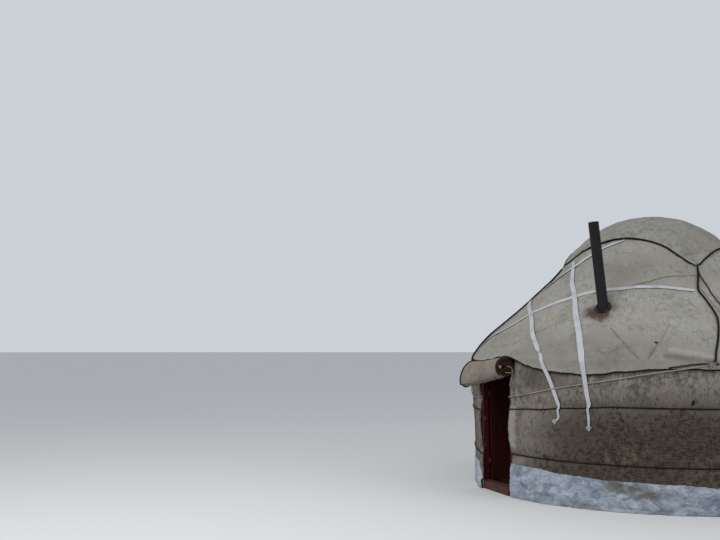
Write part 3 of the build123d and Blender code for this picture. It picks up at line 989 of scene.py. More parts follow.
@dataclass
class Strand:
    """A rope, cord or tape that follows points, each with an outward direction."""

    points: list[Vector]
    outwards: list[Vector]

    def spans(self) -> list[float]:
        """Distance walked at each point."""
        walked = [0.0]
        for first, last in zip(self.points, self.points[1:]):
            walked.append(walked[-1] + (last - first).length)
        return walked

    def evenly(self, step: float) -> "Strand":
        """The same line with points at an even step, on a smooth curve.

        Args:
            step: Metres between the new points.

        Returns:
            The new line.
        """
        walked = self.spans()
        last = len(walked) - 1
        count = max(2, round(walked[-1] / step))
        points, outwards = [], []
        for index in range(count + 1):
            spot = walked[-1] * index / count
            place = max(1, next((item for item, far in enumerate(walked) if far >= spot), last))
            share = (spot - walked[place - 1]) / max(1e-9, walked[place] - walked[place - 1])
            points.append(self.curve(place - 1, share))
            outwards.append(self.outwards[place - 1].lerp(self.outwards[place], share).normalized())
        return Strand(points, outwards)

    def curve(self, index: int, share: float) -> Vector:
        """Point on a smooth curve through the points.

        Args:
            index: The point after which it lies.
            share: Share of the way to the next point.

        Returns:
            The point.
        """
        first, last = self.points[index], self.points[index + 1]
        before = self.points[index - 1] if index else first * 2 - last
        after = self.points[index + 2] if index + 2 < len(self.points) else last * 2 - first
        leaving = (last - before) * 0.5
        arriving = (after - first) * 0.5
        square, cube = share**2, share**3
        held = first * (2 * cube - 3 * square + 1) + leaving * (cube - 2 * square + share)
        return held + last * (3 * square - 2 * cube) + arriving * (cube - square)

    def index_at(self, height: float) -> int:
        """Index of the point whose height is nearest to a height."""
        return min(range(len(self.points)), key=lambda index: abs(self.points[index].z - height))

    def share_at(self, index: int) -> float:
        """Share of the whole length at one of the points."""
        walked = self.spans()
        return walked[index] / walked[-1]

    def frame(self, index: int) -> tuple[Vector, Vector]:
        """Sideways and outward directions at a point."""
        last = len(self.points) - 1
        ahead = (self.points[min(last, index + 1)] - self.points[max(0, index - 1)]).normalized()
        side = ahead.cross(self.outwards[index]).normalized()
        return side, side.cross(ahead).normalized()

    def rope(self, name: str, twist: Twist) -> Piece:
        """A twisted rope along the line.

        Args:
            name: The piece's name.
            twist: How it is laid.

        Returns:
            The rope as a closed mesh.
        """
        walked = self.spans()
        count = len(self.points) - 1

        def place(round_share: float, share: float) -> Vector:
            """Point of the rope's outside.

            Args:
                round_share: Share of the turn round the rope.
                share: Share of its length.

            Returns:
                The point.
            """
            index = round(share * count)
            side, out = self.frame(index)
            turn = 2 * math.pi * round_share
            twisted = turn - 2 * math.pi * walked[index] / twist.lay
            lobe = 0.86 + 0.14 * math.cos(twist.strands * twisted)
            away = side * math.cos(turn) + out * math.sin(turn)
            return self.points[index] + away * (twist.radius * lobe)

        piece = Workshop.grid(name, twist.sides, count, place)
        Workshop.close_up(piece)
        Workshop.fill_ends(piece)
        Workshop.shade(piece)
        return piece

    def tape(
        self, name: str, width: Callable[[float], float], thickness: float, fold: Callable[[float], float]
    ) -> Piece:
        """A flat tape along the line.

        Args:
            name: The piece's name.
            width: Width at a share of the length.
            thickness: Thickness of the tape.
            fold: Turn about its own line, in degrees, at a share of the length.

        Returns:
            The tape as a closed mesh.
        """
        count = len(self.points) - 1

        def place(cross: float, share: float) -> Vector:
            """Point of the tape's middle.

            Args:
                cross: Share of the tape's width.
                share: Share of its length.

            Returns:
                The point.
            """
            index = round(share * count)
            side, out = self.frame(index)
            turn = math.radians(fold(share))
            level = side * math.cos(turn) + out * math.sin(turn)
            reach = (cross - 0.5) * width(share)
            sag = -0.0015 * math.cos((cross - 0.5) * math.pi * 2)
            return self.points[index] + level * reach + out * (sag + abs(math.sin(turn) * reach) * 0.6)

        piece = Workshop.grid(name, 6, count, place)
        Workshop.thicken(piece, thickness, 0.0)
        Workshop.shade(piece, Shading.BY_ANGLE, 50.0)
        return piece


@dataclass
class Skin:
    """The dressed felts' outside, for everything that lies on them."""

    tent: Tent
    roof: "RoofFelts"
    metres: float = 0.036
    roof_upwards: float = 1.2

    def dense(self, places: Sequence[Place], step: float = 0.03) -> list[Place]:
        """Places on a smooth curve through a few stations.

        Args:
            places: Stations by azimuth and by radius or height.
            step: Metres between the new places.

        Returns:
            The places.
        """
        stations = [Vector((azimuth * self.metres, value, 0.0)) for azimuth, value in places]
        line = Strand(stations, [Vector((0.0, 0.0, 1.0))] * len(stations)).evenly(step)
        return [(point.x / self.metres, point.y) for point in line.points]

    def stand_out(self, azimuth: float, height: float) -> float:
        """How far the felts stand out from the wall's radius at a height.

        Args:
            azimuth: Degrees from the doorway.
            height: Metres above the ground.

        Returns:
            Metres outwards.
        """
        tent = self.tent
        wall = tent.wall_bulge(azimuth, height)
        edge = self.roof.eave_height(azimuth)
        over = ease(edge - 0.085, edge - 0.004, height)
        if over == 0:
            return wall
        hanging = tent.length + max(0.0, tent.shape.eave_start - height)
        point = self.roof.point(azimuth, hanging)
        x, y = tent.shape.centre
        roof = math.hypot(point.x - x, point.y - y) - tent.shape.wall_radius
        return wall + (roof - wall) * over

    def at_height(self, azimuth: float, height: float, lift: float) -> Vector:
        """Point over the wall felt, or over the roof felt's edge where that covers it."""
        radius = self.tent.shape.wall_radius + self.stand_out(azimuth, height) + lift
        return self.tent.at(azimuth, radius, height)

    @staticmethod
    def taut(heights: Sequence[float], reach: int = 2) -> list[float]:
        """Heights of a taut line that rides over the tops of bumps."""
        windows = [slice(max(0, item - reach), item + reach + 1) for item in range(len(heights))]
        tops = [max(heights[window]) for window in windows]
        return [sum(tops[window]) / len(tops[window]) for window in windows]

    def strand(self, roof: Sequence[Place], wall: Sequence[Place], lift: float) -> Strand:
        """A line down the roof felt and on down the wall.

        Args:
            roof: Stations on the roof, by azimuth and radius.
            wall: Stations on the wall, by azimuth and height.
            lift: Metres over the felt.

        Returns:
            The line, with a point every few centimetres.
        """
        tent = self.tent
        stations = self.dense(roof) if roof else []
        places = [(azimuth, tent.distance_at(radius)) for azimuth, radius in stations]
        heights = self.taut([self.roof.height_over(*place) for place in places])
        points = [tent.roof(*place, over + lift) for place, over in zip(places, heights)]
        upwards = Vector((0.0, 0.0, self.roof_upwards))
        outwards = [(tent.outwards(azimuth) + upwards).normalized() for azimuth, _ in places]
        places = self.dense(wall) if wall else []
        reaches = self.taut([self.stand_out(*place) for place in places])
        points += [
            tent.at(azimuth, tent.shape.wall_radius + reach + lift, height)
            for (azimuth, height), reach in zip(places, reaches)
        ]
        outwards += [tent.outwards(azimuth) for azimuth, _ in places]
        return Strand(points, outwards)


@dataclass
class WallFelts:
    """The felts round the wall, cinched by the ropes."""

    tent: Tent
    thickness: float = 0.013
    foot: float = 0.004
    head: float = 1.585
    lap: float = 0.6
    divisions: tuple[int, int] = (190, 86)
    names: Sequence[str] = ("front_right", "back_right", "back_left", "front_left")

    @staticmethod
    def near_edge(height: float) -> float:
        """Azimuth of the felt's edge on the doorway's right."""
        return along_list(NEAR_DOOR_EDGE, height) + 0.14 * cloud(Vector((1.0, 2.0, height)), 0.13)

    @staticmethod
    def far_edge(height: float) -> float:
        """Azimuth of the felt's edge on the doorway's left."""
        return -along_list(FAR_DOOR_EDGE, height) + 0.14 * cloud(Vector((4.0, 2.0, height)), 0.13)

    def point(self, index: int, share: float, rise: float) -> Vector:
        """Point of one felt's outside.

        Args:
            index: Which felt, from the doorway's right on round the tent.
            share: Share of the felt's length.
            rise: Share of its height.

        Returns:
            The point, a little further out where the felt laps over the one before it.
        """
        arc = (360 - 2 * self.tent.door_half) / len(self.names)
        start = self.tent.door_half + index * arc
        height = self.foot + (self.head - self.foot) * rise
        low = start - self.lap if index > 0 else self.near_edge(height)
        high = start + arc if index < len(self.names) - 1 else 360 + self.far_edge(height)
        lift = self.thickness * 0.9 * (1 - ease(0.0, 0.035, share)) * (index > 0)
        return self.tent.wall(low + (high - low) * share, height, lift)

    def build(self, material: Material) -> None:
        """Makes the four felts.

        Args:
            material: The wall felt's finish.
        """
        for index, side in enumerate(self.names):
            place = partial(self.point, index)
            piece = Workshop.sheet(f"{side}_wall_felt", self.divisions, place, self.thickness)
            Workshop.ready(piece, material, "tent", "wall_felt", f"wall_felt_{index + 1}")
            f"lattice_{index + 1}"


@dataclass(frozen=True)
class Crease:
    """A fold or a seam in the roof felt, as two places by azimuth and radius, darkened by painted shade and
    some dirt.
    """

    start: Place
    end: Place
    width: float
    depth: float
    # Strength of the darkening along the crease: painted shade in the fold, with some dirt.
    dirt: float = 0.55

    def lift(self, azimuth: float, radius: float) -> float:
        """How far the felt stands up beside the crease or sinks into it.

        Args:
            azimuth: Degrees from the doorway.
            radius: Metres from the tent's middle.

        Returns:
            Metres outwards, below 0 in the crease itself.
        """
        spot, first, last = (self.plan(*place) for place in ((azimuth, radius), self.start, self.end))
        away, share = from_segment(spot, first, last)
        away += 0.010 * math.sin(share * 9.0)
        fade = ease(0.0, 0.25, share) * (1 - ease(0.8, 1.0, share)) if away < 3 * self.width else 0.0
        fade = max(fade, 0.35)
        valley = bell(away, self.width)
        shoulder = bell(away - 2.2 * self.width, 1.4 * self.width)
        return self.depth * fade * (0.55 * shoulder - valley)

    @staticmethod
    def plan(azimuth: float, radius: float) -> Place:
        """Plan place of an azimuth and a radius."""
        return radius * sine(azimuth), -radius * cosine(azimuth)


@dataclass
class RoofFelts:
    """The four roof felts, each from under the crown cover down to the eave."""

    tent: Tent
    thickness: float = 0.012
    opening: float = 0.82
    first_seam: float = -18.0
    lap: float = 1.2
    # The eave cord is thick and black: a real cord that also stands for the shadow under the eave.
    cord: Twist = Twist(0.011, 2, 0.035, 8)
    cord_step: float = 0.013
    creased: Place = (-20.0, 76.0)
    front_divisions: tuple[int, int] = (230, 170)
    other_divisions: tuple[int, int] = (140, 100)
    names: Sequence[str] = ("front", "right", "back", "left")
    creases: Sequence[Crease] = (
        Crease((8.9, 2.206), (24.4, 1.847), 0.020, 0.015, 0.46),
        Crease((41.5, 2.000), (46.2, 2.160), 0.016, 0.014),
        Crease((46.2, 2.160), (50.5, 2.305), 0.017, 0.015),
        Crease((59.6, 1.960), (55.9, 2.170), 0.018, 0.008, 0.30),
        Crease((55.6, 2.180), (53.0, 2.310), 0.018, 0.016),
        Crease((57.5, 2.288), (71.5, 2.345), 0.044, 0.014, 0.50),
        Crease((66.5, 1.256), (70.9, 1.266), 0.010, 0.006),
        Crease((33.1, 1.048), (43.3, 1.044), 0.010, 0.006),
        Crease((67.5, 1.631), (70.5, 1.746), 0.012, 0.008),
        Crease((30.0, 2.240), (27.0, 2.305), 0.020, 0.010, 0.0),
        Crease((16.5, 2.200), (13.5, 2.330), 0.022, 0.012, 0.0),
    )
    eave: Sequence[Place] = (
        (0.0, 1.590), (12.0, 1.590), (14.8, 1.566), (17.5, 1.532), (20.6, 1.500),
        (25.7, 1.471), (31.0, 1.452), (35.8, 1.442), (40.4, 1.451), (45.7, 1.478),
        (54.7, 1.510), (65.1, 1.511), (70.7, 1.504), (90.0, 1.485), (110.0, 1.455),
        (135.0, 1.495), (160.0, 1.465), (180.0, 1.490),
    )

    def eave_height(self, azimuth: float) -> float:
        """Height of the felts' lower edge."""
        turned = (azimuth + 180) % 360 - 180
        place = self.tent.at(azimuth, self.tent.shape.wall_radius, 0.0)
        return along_list(self.eave, abs(turned)) + 0.005 * cloud(place, 0.16)

    def end_distance(self, azimuth: float) -> float:
        """Distance walked at which the felt ends."""
        tent = self.tent
        plain = tent.length + tent.shape.eave_start - self.eave_height(azimuth)
        porch = tent.distance_at(tent.knee_radius) + tent.knee_reach
        return plain + (porch - plain) * tent.over_door(azimuth)

    def folds(self, azimuth: float, distance: float) -> float:
        """How far soft folds and the poles lift the felt at a place.

        Args:
            azimuth: Degrees from the doorway.
            distance: Metres walked from the crown's top.

        Returns:
            Metres outwards.
        """
        tent = self.tent
        radius = tent.walk(distance)[0]
        poles = 0.0022 * math.cos(math.radians(azimuth * 54)) * ease(1.0, 1.6, distance)
        place = tent.at(azimuth, distance, 0.0)
        soft = 0.011 * cloud(place, 0.55) + 0.006 * cloud(place, 0.17) + 0.0020 * cloud(place, 0.055)
        low = ease(2.3, 3.15, distance)
        beside = 1 - tent.over_door(azimuth)
        hanging = 0.016 * low * beside * cloud(Vector((azimuth * 0.04, distance * 0.16, 3.0)), 0.19)
        creases = 0.0
        if self.creased[0] < azimuth < self.creased[1]:
            creases = sum(crease.lift(azimuth, radius) for crease in self.creases)
        along = (azimuth - 62.5) / 6.0
        away = (radius - (2.262 + 0.030 * along)) / 0.038
        bulge = 0.034 * math.exp(-(along**4) - away**2)
        bulge -= 0.018 * bell(azimuth - 62.0, 4.5) * bell(distance - tent.length, 0.05)
        porch = 0.006 * math.sin(azimuth * 0.40 + 0.8) * tent.over_door(azimuth) * ease(2.75, 3.25, distance)
        return poles + soft + hanging + creases + bulge + porch

    def height_over(self, azimuth: float, distance: float) -> float:
        """How far the felt's outside stands over the tent's plain skin."""
        place = self.tent.at(azimuth, self.tent.shape.wall_radius, 0.0)
        low = ease(2.6, 3.25, distance) * (0.5 + 0.5 * cloud(place, 0.24))
        low *= 1 - self.tent.over_door(azimuth)
        covered = 0.014 * (1 - ease(0.95, 1.15, distance))
        return self.folds(azimuth, distance) + 0.012 * low - covered

    def point(self, azimuth: float, distance: float, lift: float = 0.0) -> Vector:
        """Point on the felts' outside, moved outwards by a lift."""
        return self.tent.roof(azimuth, distance, self.height_over(azimuth, distance) + lift)

    def felt_point(self, index: int, share: float, rise: float) -> Vector:
        """Point of one felt's outside.

        Args:
            index: Which felt, from the front one on round the tent.
            share: Share of the felt's width.
            rise: Share of its length, from the eave up to the crown.

        Returns:
            The point, a little further in at the felt's first edge and out at its last.
        """
        top = self.tent.distance_at(self.opening)
        azimuth = self.first_seam + 90.0 * index - self.lap + (90.0 + 2 * self.lap) * share
        azimuth = azimuth if azimuth < 180 else azimuth - 360
        distance = top + (self.end_distance(azimuth) - top) * (1 - rise) ** 0.9
        under = -0.006 * (1 - ease(0.0, 0.03, share)) + 0.006 * ease(0.97, 1.0, share)
        return self.point(azimuth, distance, under)

    def build(self, material: Material, cord: Material) -> None:
        """Makes the four felts and the cord along the front one's lower edge, which is thick and black to
        stand also for the shadow under the eave.

        Args:
            material: The roof felt's finish.
            cord: The dark cord's finish.
        """
        for index, side in enumerate(self.names):
            divisions = self.front_divisions if index == 0 else self.other_divisions
            place = partial(self.felt_point, index)
            piece = Workshop.sheet(f"{side}_roof_felt", divisions, place, self.thickness)
            Workshop.ready(piece, material, "tent", "roof_felt", f"roof_felt_{index + 1}")
            nodes = [f"roof_poles_{index + 1}", "crown_ring"]
        self.build_eave_cord_and_shadow(cord)

    def build_eave_cord_and_shadow(self, cord: Material) -> None:
        """Makes the dark cord that edges the front felt along the eave, thick and black so that it also
        stands for the shadow gap under the eave.

        Args:
            cord: The dark cord's finish.
        """
        points, outwards = [], []
        count = 90
        for index in range(count + 1):
            azimuth = self.first_seam + 1.0 + 88.0 * index / count
            points.append(self.point(azimuth, self.end_distance(azimuth) + 0.005, -0.004))
            outwards.append(self.tent.outwards(azimuth))
        piece = Strand(points, outwards).evenly(self.cord_step).rope("front_eave_cord", self.cord)
        Workshop.ready(piece, cord, "tent", "dark_rope")


@dataclass
class CrownCover:
    """The square felt over the crown, with a dark cord sewn round its edge."""

    tent: Tent
    roof: RoofFelts
    half_side: float = 0.867
    azimuth: float = 34.0
    thickness: float = 0.014
    cord: Twist = Twist(0.0125, 2, 0.05, 10)
    cord_step: float = 0.012
    divisions: tuple[int, int] = (130, 130)

    def spot(self, a: float, b: float) -> Place:
        """Azimuth and radius of a place on the square."""
        x = a * cosine(self.azimuth) - b * sine(self.azimuth)
        y = a * sine(self.azimuth) + b * cosine(self.azimuth)
        return math.degrees(math.atan2(x, -y)), math.hypot(x, y)

    def point(self, a: float, b: float, lift: float = 0.0) -> Vector:
        """Point of the cover's outside at a place on the square.

        Args:
            a: Metres from the middle along the square's first side.
            b: Metres from the middle along its other side.
            lift: Metres outwards.

        Returns:
            The point.
        """
        half = self.half_side
        outer = 0.115 * swell(-1.0, 1.15, b / half) * ease(0.2, 1.0, a / half)
        inner = 0.098 * min(1.0, max(0.0, (-a / half - 0.3) / 0.7)) * ease(0.2, 1.0, -b / half)
        azimuth, radius = self.spot(a + outer + inner * 0.1, b + inner)
        bow = 1 + 0.008 * cloud(Vector((a * 2, b * 2, 7.0)), 0.5)
        side = swell(-95.0, 25.0, azimuth) * ease(0.55, 0.85, radius)
        puff = 0.010 * (1 - ease(0.25, 0.90, radius)) + 0.015 - 0.003 * side
        place = Vector((a, b, 5.0))
        soft = 0.006 * cloud(place, 0.33) + 0.005 * cloud(place, 0.12) + 0.002 * cloud(place, 0.04)
        soft *= 1 - 0.7 * ease(0.80, 0.95, radius)
        fold = 0.012 * ease(0.5, 1.1, radius) * math.sin((a - b) * 9) * cloud(place, 0.4)
        distance = self.tent.distance_at(radius * bow)
        under = self.roof.height_over(azimuth, distance) * ease(0.80, 0.95, radius)
        return self.tent.roof(azimuth, distance, puff + soft + fold + under + lift)

    def build(self, felt: Material, cord: Material) -> None:
        """Makes the cover and its cord.

        Args:
            felt: The cover's finish.
            cord: The dark cord's finish.
        """
        side = 2 * self.half_side

        def place(share: float, rise: float) -> Vector:
            """Point of the outside at two shares of the square's sides."""
            return self.point((share - 0.5) * side, (rise - 0.5) * side)

        piece = Workshop.sheet("crown_cover_felt", self.divisions, place, self.thickness)
        Workshop.ready(piece, felt, "tent", "cover_felt", "crown_cover")
        self.build_cord(cord)

    def build_cord(self, cord: Material) -> None:
        """Makes the cord as one closed loop round the square.

        Args:
            cord: The dark cord's finish.
        """
        points, outwards = [], []
        half = self.half_side
        corners = ((-half, -half), (half, -half), (half, half), (-half, half))
        count = 40
        for index, (a, b) in enumerate(corners):
            end_a, end_b = corners[(index + 1) % 4]
            for step in range(count):
                share = step / count
                spot = (a + (end_a - a) * share, b + (end_b - b) * share)
                round_off = 1 - 0.018 * (1 - ease(0.0, 0.06, min(share, 1 - share)))
                points.append(self.point(spot[0] * round_off, spot[1] * round_off, -0.002))
                outwards.append((points[-1] - self.tent.at(0.0, 0.0, 1.4)).normalized())
        points.append(points[0])
        outwards.append(outwards[0])
        strand = Strand(points, outwards).evenly(self.cord_step)
        piece = strand.rope("crown_cover_edge_cord", self.cord)
        Workshop.ready(piece, cord, "tent", "dark_rope", "crown_cover_cord")


@dataclass
class Skirt:
    """Crumpled plastic sheet round the foot of the wall."""

    tent: Tent
    thickness: float = 0.003
    shading_angle: float = 70.0
    divisions: tuple[int, int] = (680, 38)
    top: Sequence[Place] = (
        (9.4, 0.385), (20.0, 0.375), (29.0, 0.342), (44.0, 0.319), (59.0, 0.310),
        (70.0, 0.283), (100.0, 0.30), (140.0, 0.33), (180.0, 0.31),
    )
    far_top: Sequence[Place] = (
        (7.4, 0.150), (9.0, 0.214), (12.6, 0.284), (16.8, 0.312), (40.0, 0.330), (100.0, 0.30),
        (140.0, 0.33), (180.0, 0.31),
    )

    def point(self, sign: int, share: float, rise: float) -> Vector:
        """Point of one length's outside.

        Args:
            sign: 1 for the length that starts at the doorway's right, -1 for the other.
            share: Share of the way from the doorway to the back.
            rise: Share of the height from the ground.

        Returns:
            The point.
        """
        tent = self.tent
        radius = tent.shape.wall_radius
        edge = along_list(NEAR_DOOR_EDGE, 0.38 * rise) - 0.1
        if sign < 0:
            edge = along_list(FAR_DOOR_EDGE, 0.38 * rise) - 0.7
        turn = edge + (180.25 - edge) * share
        azimuth = sign * turn
        spot = tent.at(azimuth, radius, 0.0)
        top = along_list(self.top if sign > 0 else self.far_top, turn) + 0.007 * cloud(spot, 0.12)
        height = top * rise
        point = tent.at(azimuth, radius, height)
        slanted = Vector((point.x, point.y, point.z * 1.6))
        crumple = 0.010 * ridge(slanted, 0.20) + 0.005 * ridge(slanted, 0.085)
        crumple += 0.009 * cloud(slanted, 0.12) + 0.0015 * cloud(point, 0.035)
        sag = 0.007 * math.sin(azimuth * 1.7 + 4 * cloud(spot, 0.5)) * (1 - rise)
        loose = 1 - (sign < 0) * (1 - ease(65.0, 95.0, turn))
        lip = 0.022 * (1 - ease(0.0, 0.13, rise)) * (0.6 + 0.4 * cloud(spot, 0.25))
        lip += 0.010 * (1 - rise)
        crumple *= (1 - 0.8 * ease(0.80, 1.0, rise)) * (0.3 + 0.7 * loose)
        lift = 0.006 + crumple + (sag + lip) * loose - 0.002 * (1 - loose)
        if sign < 0:
            lift += 0.026 * (1 - ease(10.5, 13.0, turn)) * (1 - ease(0.10, 0.13, height))
        point = tent.wall(azimuth, height, max(0.004, lift))
        point.z = max(0.002, height + 0.004 * cloud(point, 0.05) * ease(0.02, 0.2, rise))
        return point

    def build(self, material: Material) -> None:
        """Makes the skirt's two lengths.

        Args:
            material: The sheet's finish.
        """
        for index, (side, sign) in enumerate((("right", 1), ("left", -1))):
            place = partial(self.point, sign)
            finish = (self.thickness, self.shading_angle, sign < 0)
            piece = Workshop.sheet(f"{side}_skirt_sheet", self.divisions, place, *finish)
            Workshop.ready(piece, material, "tent", "skirt_sheet", f"skirt_{index + 1}")


@dataclass
class Ropes:
    """Ropes round the wall and cords down the roof felts' edges."""

    skin: Skin
    wall: Twist = Twist(0.0085, 3, 0.07, 9)
    climbing: Twist = Twist(0.0075, 3, 0.06, 8)
    edge: Twist = Twist(0.0125, 2, 0.06, 10)
    step: float = 0.014
    upper: Sequence[Place] = (
        (9.4, 1.012), (20.0, 1.032), (32.0, 1.067), (44.0, 1.096), (90.0, 1.09),
        (180.0, 1.085),
    )
    lower: Sequence[Place] = ((9.4, 0.496), (22.0, 0.487), (35.0, 0.482), (60.0, 0.478), (180.0, 0.480))
    upper_drop: Sequence[Place] = ((9.0, 0.055), (20.0, 0.077), (27.0, 0.094), (45.0, 0.060), (70.0, 0.0))
    lower_drop: Sequence[Place] = ((9.0, 0.078), (13.0, 0.060), (24.0, 0.020), (40.0, 0.0))
    pale_left: Sequence[Place] = (
        (-10.0, 1.118), (-13.5, 1.108), (-17.0, 1.104), (-22.0, 1.140), (-28.0, 1.215),
        (-35.7, 1.320), (-45.7, 1.402), (-53.4, 1.460), (-61.0, 1.505), (-68.2, 1.552),
    )
    pale: Sequence[Place] = (
        (10.0, 1.155), (18.8, 1.210), (25.6, 1.266), (35.7, 1.335), (45.7, 1.402),
        (53.4, 1.460), (61.0, 1.505), (68.2, 1.552),
    )
    right_edge: Sequence[Place] = (
        (79.9, 1.205), (77.3, 1.330), (75.1, 1.430), (73.9, 1.520), (74.8, 1.640),
        (75.5, 1.827), (74.9, 1.936), (72.9, 2.093), (70.5, 2.249), (69.9, 2.300),
    )
    left_edge: Sequence[Place] = (
        (-14.1, 1.160), (-15.3, 1.250), (-19.9, 1.405), (-22.2, 1.544), (-21.3, 1.729),
        (-20.5, 2.0), (-19.9, 2.251), (-19.4, 2.300),
    )

    def wall_rope(self, name: str, heights: Sequence[Place], drop: Sequence[Place], rope: Material) -> None:
        """Makes a rope from one door edge round the wall to the other.

        Args:
            name: The piece's name.
            heights: Its height by azimuth, the same on both sides.
            drop: How much lower it runs on the doorway's left, by azimuth.
            rope: The dark rope's finish.
        """
        tent = self.skin.tent
        points, outwards = [], []
        middle = heights[0][1]
        start = along_list(NEAR_DOOR_EDGE, middle) - 0.35
        end = 360 - along_list(FAR_DOOR_EDGE, middle) + 0.35
        count = 260
        for index in range(count + 1):
            azimuth = start + (end - start) * index / count
            height = along_list(heights, min(azimuth, 360 - azimuth))
            if azimuth > 270:
                height -= along_list(drop, 360 - azimuth)
            points.append(tent.wall(azimuth, height, self.wall.radius * 0.65))
            outwards.append(tent.outwards(azimuth))
        piece = Strand(points, outwards).evenly(self.step).rope(name, self.wall)
        Workshop.ready(piece, rope, "tent", "dark_rope", "wall_ropes")

    def pale_rope(self, name: str, sign: int, pale: Material) -> None:
        """Makes a pale rope that climbs from the doorway to the roof felt's edge.

        Args:
            name: The piece's name.
            sign: 1 for the doorway's right, -1 for its left.
            pale: The pale rope's finish.
        """
        tent = self.skin.tent
        stations = self.pale if sign > 0 else self.pale_left
        line = self.skin.strand((), stations, self.climbing.radius + 0.002)
        front = tent.at(0.0, 2.262, 0.0).y
        ends = [Vector((0.352, front, 1.150))]
        if sign < 0:
            ends = [Vector((-0.345, front - 0.022, 1.122)), Vector((-0.309, front - 0.020, 1.124))]
        for end in ends:
            line.points.insert(0, end)
            line.outwards.insert(0, tent.outwards(sign * 9.0))
        piece = line.evenly(self.step).rope(name, self.climbing)
        Workshop.ready(piece, pale, "tent", "pale_rope", "pale_ropes")

    def edge_cord(self, name: str, places: Sequence[Place], turn: float, cord: Material) -> None:
        """Makes the dark cord down one roof felt's edge, from the cover to the eave.

        Args:
            name: The piece's name.
            places: Azimuths and radii that it passes.
            turn: Degrees by which it is turned round the tent.
            cord: The dark cord's finish.
        """
        turned = [(azimuth + turn, radius) for azimuth, radius in places]
        last = turned[-1][0]
        hanging = ((last - 0.3, 1.60), (last - 0.9, 1.535))
        line = self.skin.strand(turned, hanging, self.edge.radius * 0.9)
        piece = line.evenly(self.step).rope(name, self.edge)
        Workshop.ready(piece, cord, "tent", "dark_rope", "roof_edge_cords")

    def build(self, rope: Material, cord: Material, pale: Material) -> None:
        """Makes all ropes.

        Args:
            rope: The dark rope's finish.
            cord: The black cord's finish.
            pale: The pale rope's finish.
        """
        self.wall_rope("upper_wall_rope", self.upper, self.upper_drop, rope)
        self.wall_rope("lower_wall_rope", self.lower, self.lower_drop, rope)
        self.pale_rope("right_pale_rope", 1, pale)
        self.pale_rope("left_pale_rope", -1, pale)
        self.edge_cord("right_roof_cord", self.right_edge, 0.0, cord)
        self.edge_cord("left_roof_cord", self.left_edge, 0.0, cord)
        self.edge_cord("back_right_roof_cord", self.right_edge, 90.0, cord)
        self.edge_cord("back_left_roof_cord", self.left_edge, -90.0, cord)


@dataclass
class Knot:
    """A tight knot, as one closed loop tied in three lobes."""

    centre: Vector
    outward: Vector
    size: float
    radius: float

    def build(self, name: str) -> Piece:
        """Makes the knot.

        Args:
            name: The piece's name.

        Returns:
            The knot as a closed mesh.
        """
        out = self.outward.normalized()
        side = Vector((0.0, 0.0, 1.0)).cross(out).normalized()
        up = out.cross(side)
        points, outwards = [], []
        count = 60
        for index in range(count + 1):
            turn = 2 * math.pi * index / count
            across = (math.sin(turn) + 2 * math.sin(2 * turn)) / 3
            along = (math.cos(turn) - 2 * math.cos(2 * turn)) / 3
            rise = -math.sin(3 * turn) * 0.45
            points.append(self.centre + (side * across + up * along * 1.15 + out * rise) * self.size)
            outwards.append(out)
        return Strand(points, outwards).rope(name, Twist(self.radius, 1, 1.0, 8))


@dataclass
class LooseCords:
    """Thin cords over the roof felts and the knots at the eave."""

    skin: Skin
    step: float = 0.014
    end_step: float = 0.010
    knot_end: Twist = Twist(0.0045, 3, 0.04, 7)
    brown: Sequence[Place] = (
        (79.3, 1.250), (78.9, 1.312), (79.0, 1.442), (78.8, 1.566), (79.5, 1.705),
        (80.3, 1.900), (81.0, 2.110), (81.3, 2.290),
    )
    thin: Sequence[Place] = (
        (77.6, 1.310), (76.8, 1.313), (68.4, 1.316), (62.1, 1.320), (57.5, 1.346),
        (53.3, 1.376), (47.9, 1.412), (42.7, 1.451),
    )
    pale: Sequence[Place] = (
        (74.6, 1.400), (75.5, 1.453), (76.5, 1.620), (77.1, 1.705), (77.7, 1.798),
        (78.3, 1.980), (78.8, 2.290),
    )
    red: Sequence[Place] = (
        (58.0, 1.522), (60.1, 1.532), (62.1, 1.545), (64.7, 1.560), (67.8, 1.566),
        (70.5, 1.560),
    )
    knot: Place = (68.9, 1.548)
    knot_ends: Sequence[Place] = ((71.2, 1.520), (67.2, 1.580), (69.6, 1.500))

    def build(self, brown: Material, red: Material, shaded_red: Material, pale: Material) -> None:
        """Makes the cords and the knots.

        Args:
            brown: The brown cord's finish.
            red: The reddish cord's finish.
            shaded_red: The dark reddish cord's finish, a reddish cord darkened as painted shade under the
                bulge by the eave.
            pale: The pale cord's finish.
        """
        skin = self.skin
        cords = (
            ("brown_roof_cord", skin.strand(self.brown, (), 0.007), 0.0085, brown, "dark_rope"),
            ("thin_roof_cord", skin.strand(self.thin, (), 0.003), 0.0040, red, "dark_rope"),
            ("pale_roof_cord", skin.strand(self.pale, (), 0.005), 0.0060, pale, "pale_rope"),
            # The red eave cord is thick and dark as painted shade under the bulge by the eave.
            ("red_eave_cord", skin.strand((), self.red, 0.006), 0.0095, shaded_red, "dark_rope"),
        )
        for name, line, radius, material, slot in cords:
            piece = line.evenly(self.step).rope(name, Twist(radius, 3, 0.05, 8))
            Workshop.ready(piece, material, "tent", slot)
        tie = Knot(skin.at_height(*self.knot, 0.022), skin.tent.outwards(68.6), 0.028, 0.008)
        Workshop.ready(tie.build("pale_rope_knot"), pale, "tent", "pale_rope")
        eave = Knot(skin.tent.at(-9.6, 2.402, 1.574), skin.tent.outwards(-9.5), 0.018, 0.009)
        Workshop.ready(eave.build("eave_knot"), brown, "tent", "dark_rope")
        for index, end in enumerate(self.knot_ends):
            line = skin.strand((), (self.knot, end), 0.018)
            piece = line.evenly(self.end_step).rope(f"pale_knot_end_{index + 1}", self.knot_end)
            Workshop.ready(piece, pale, "tent", "pale_rope")


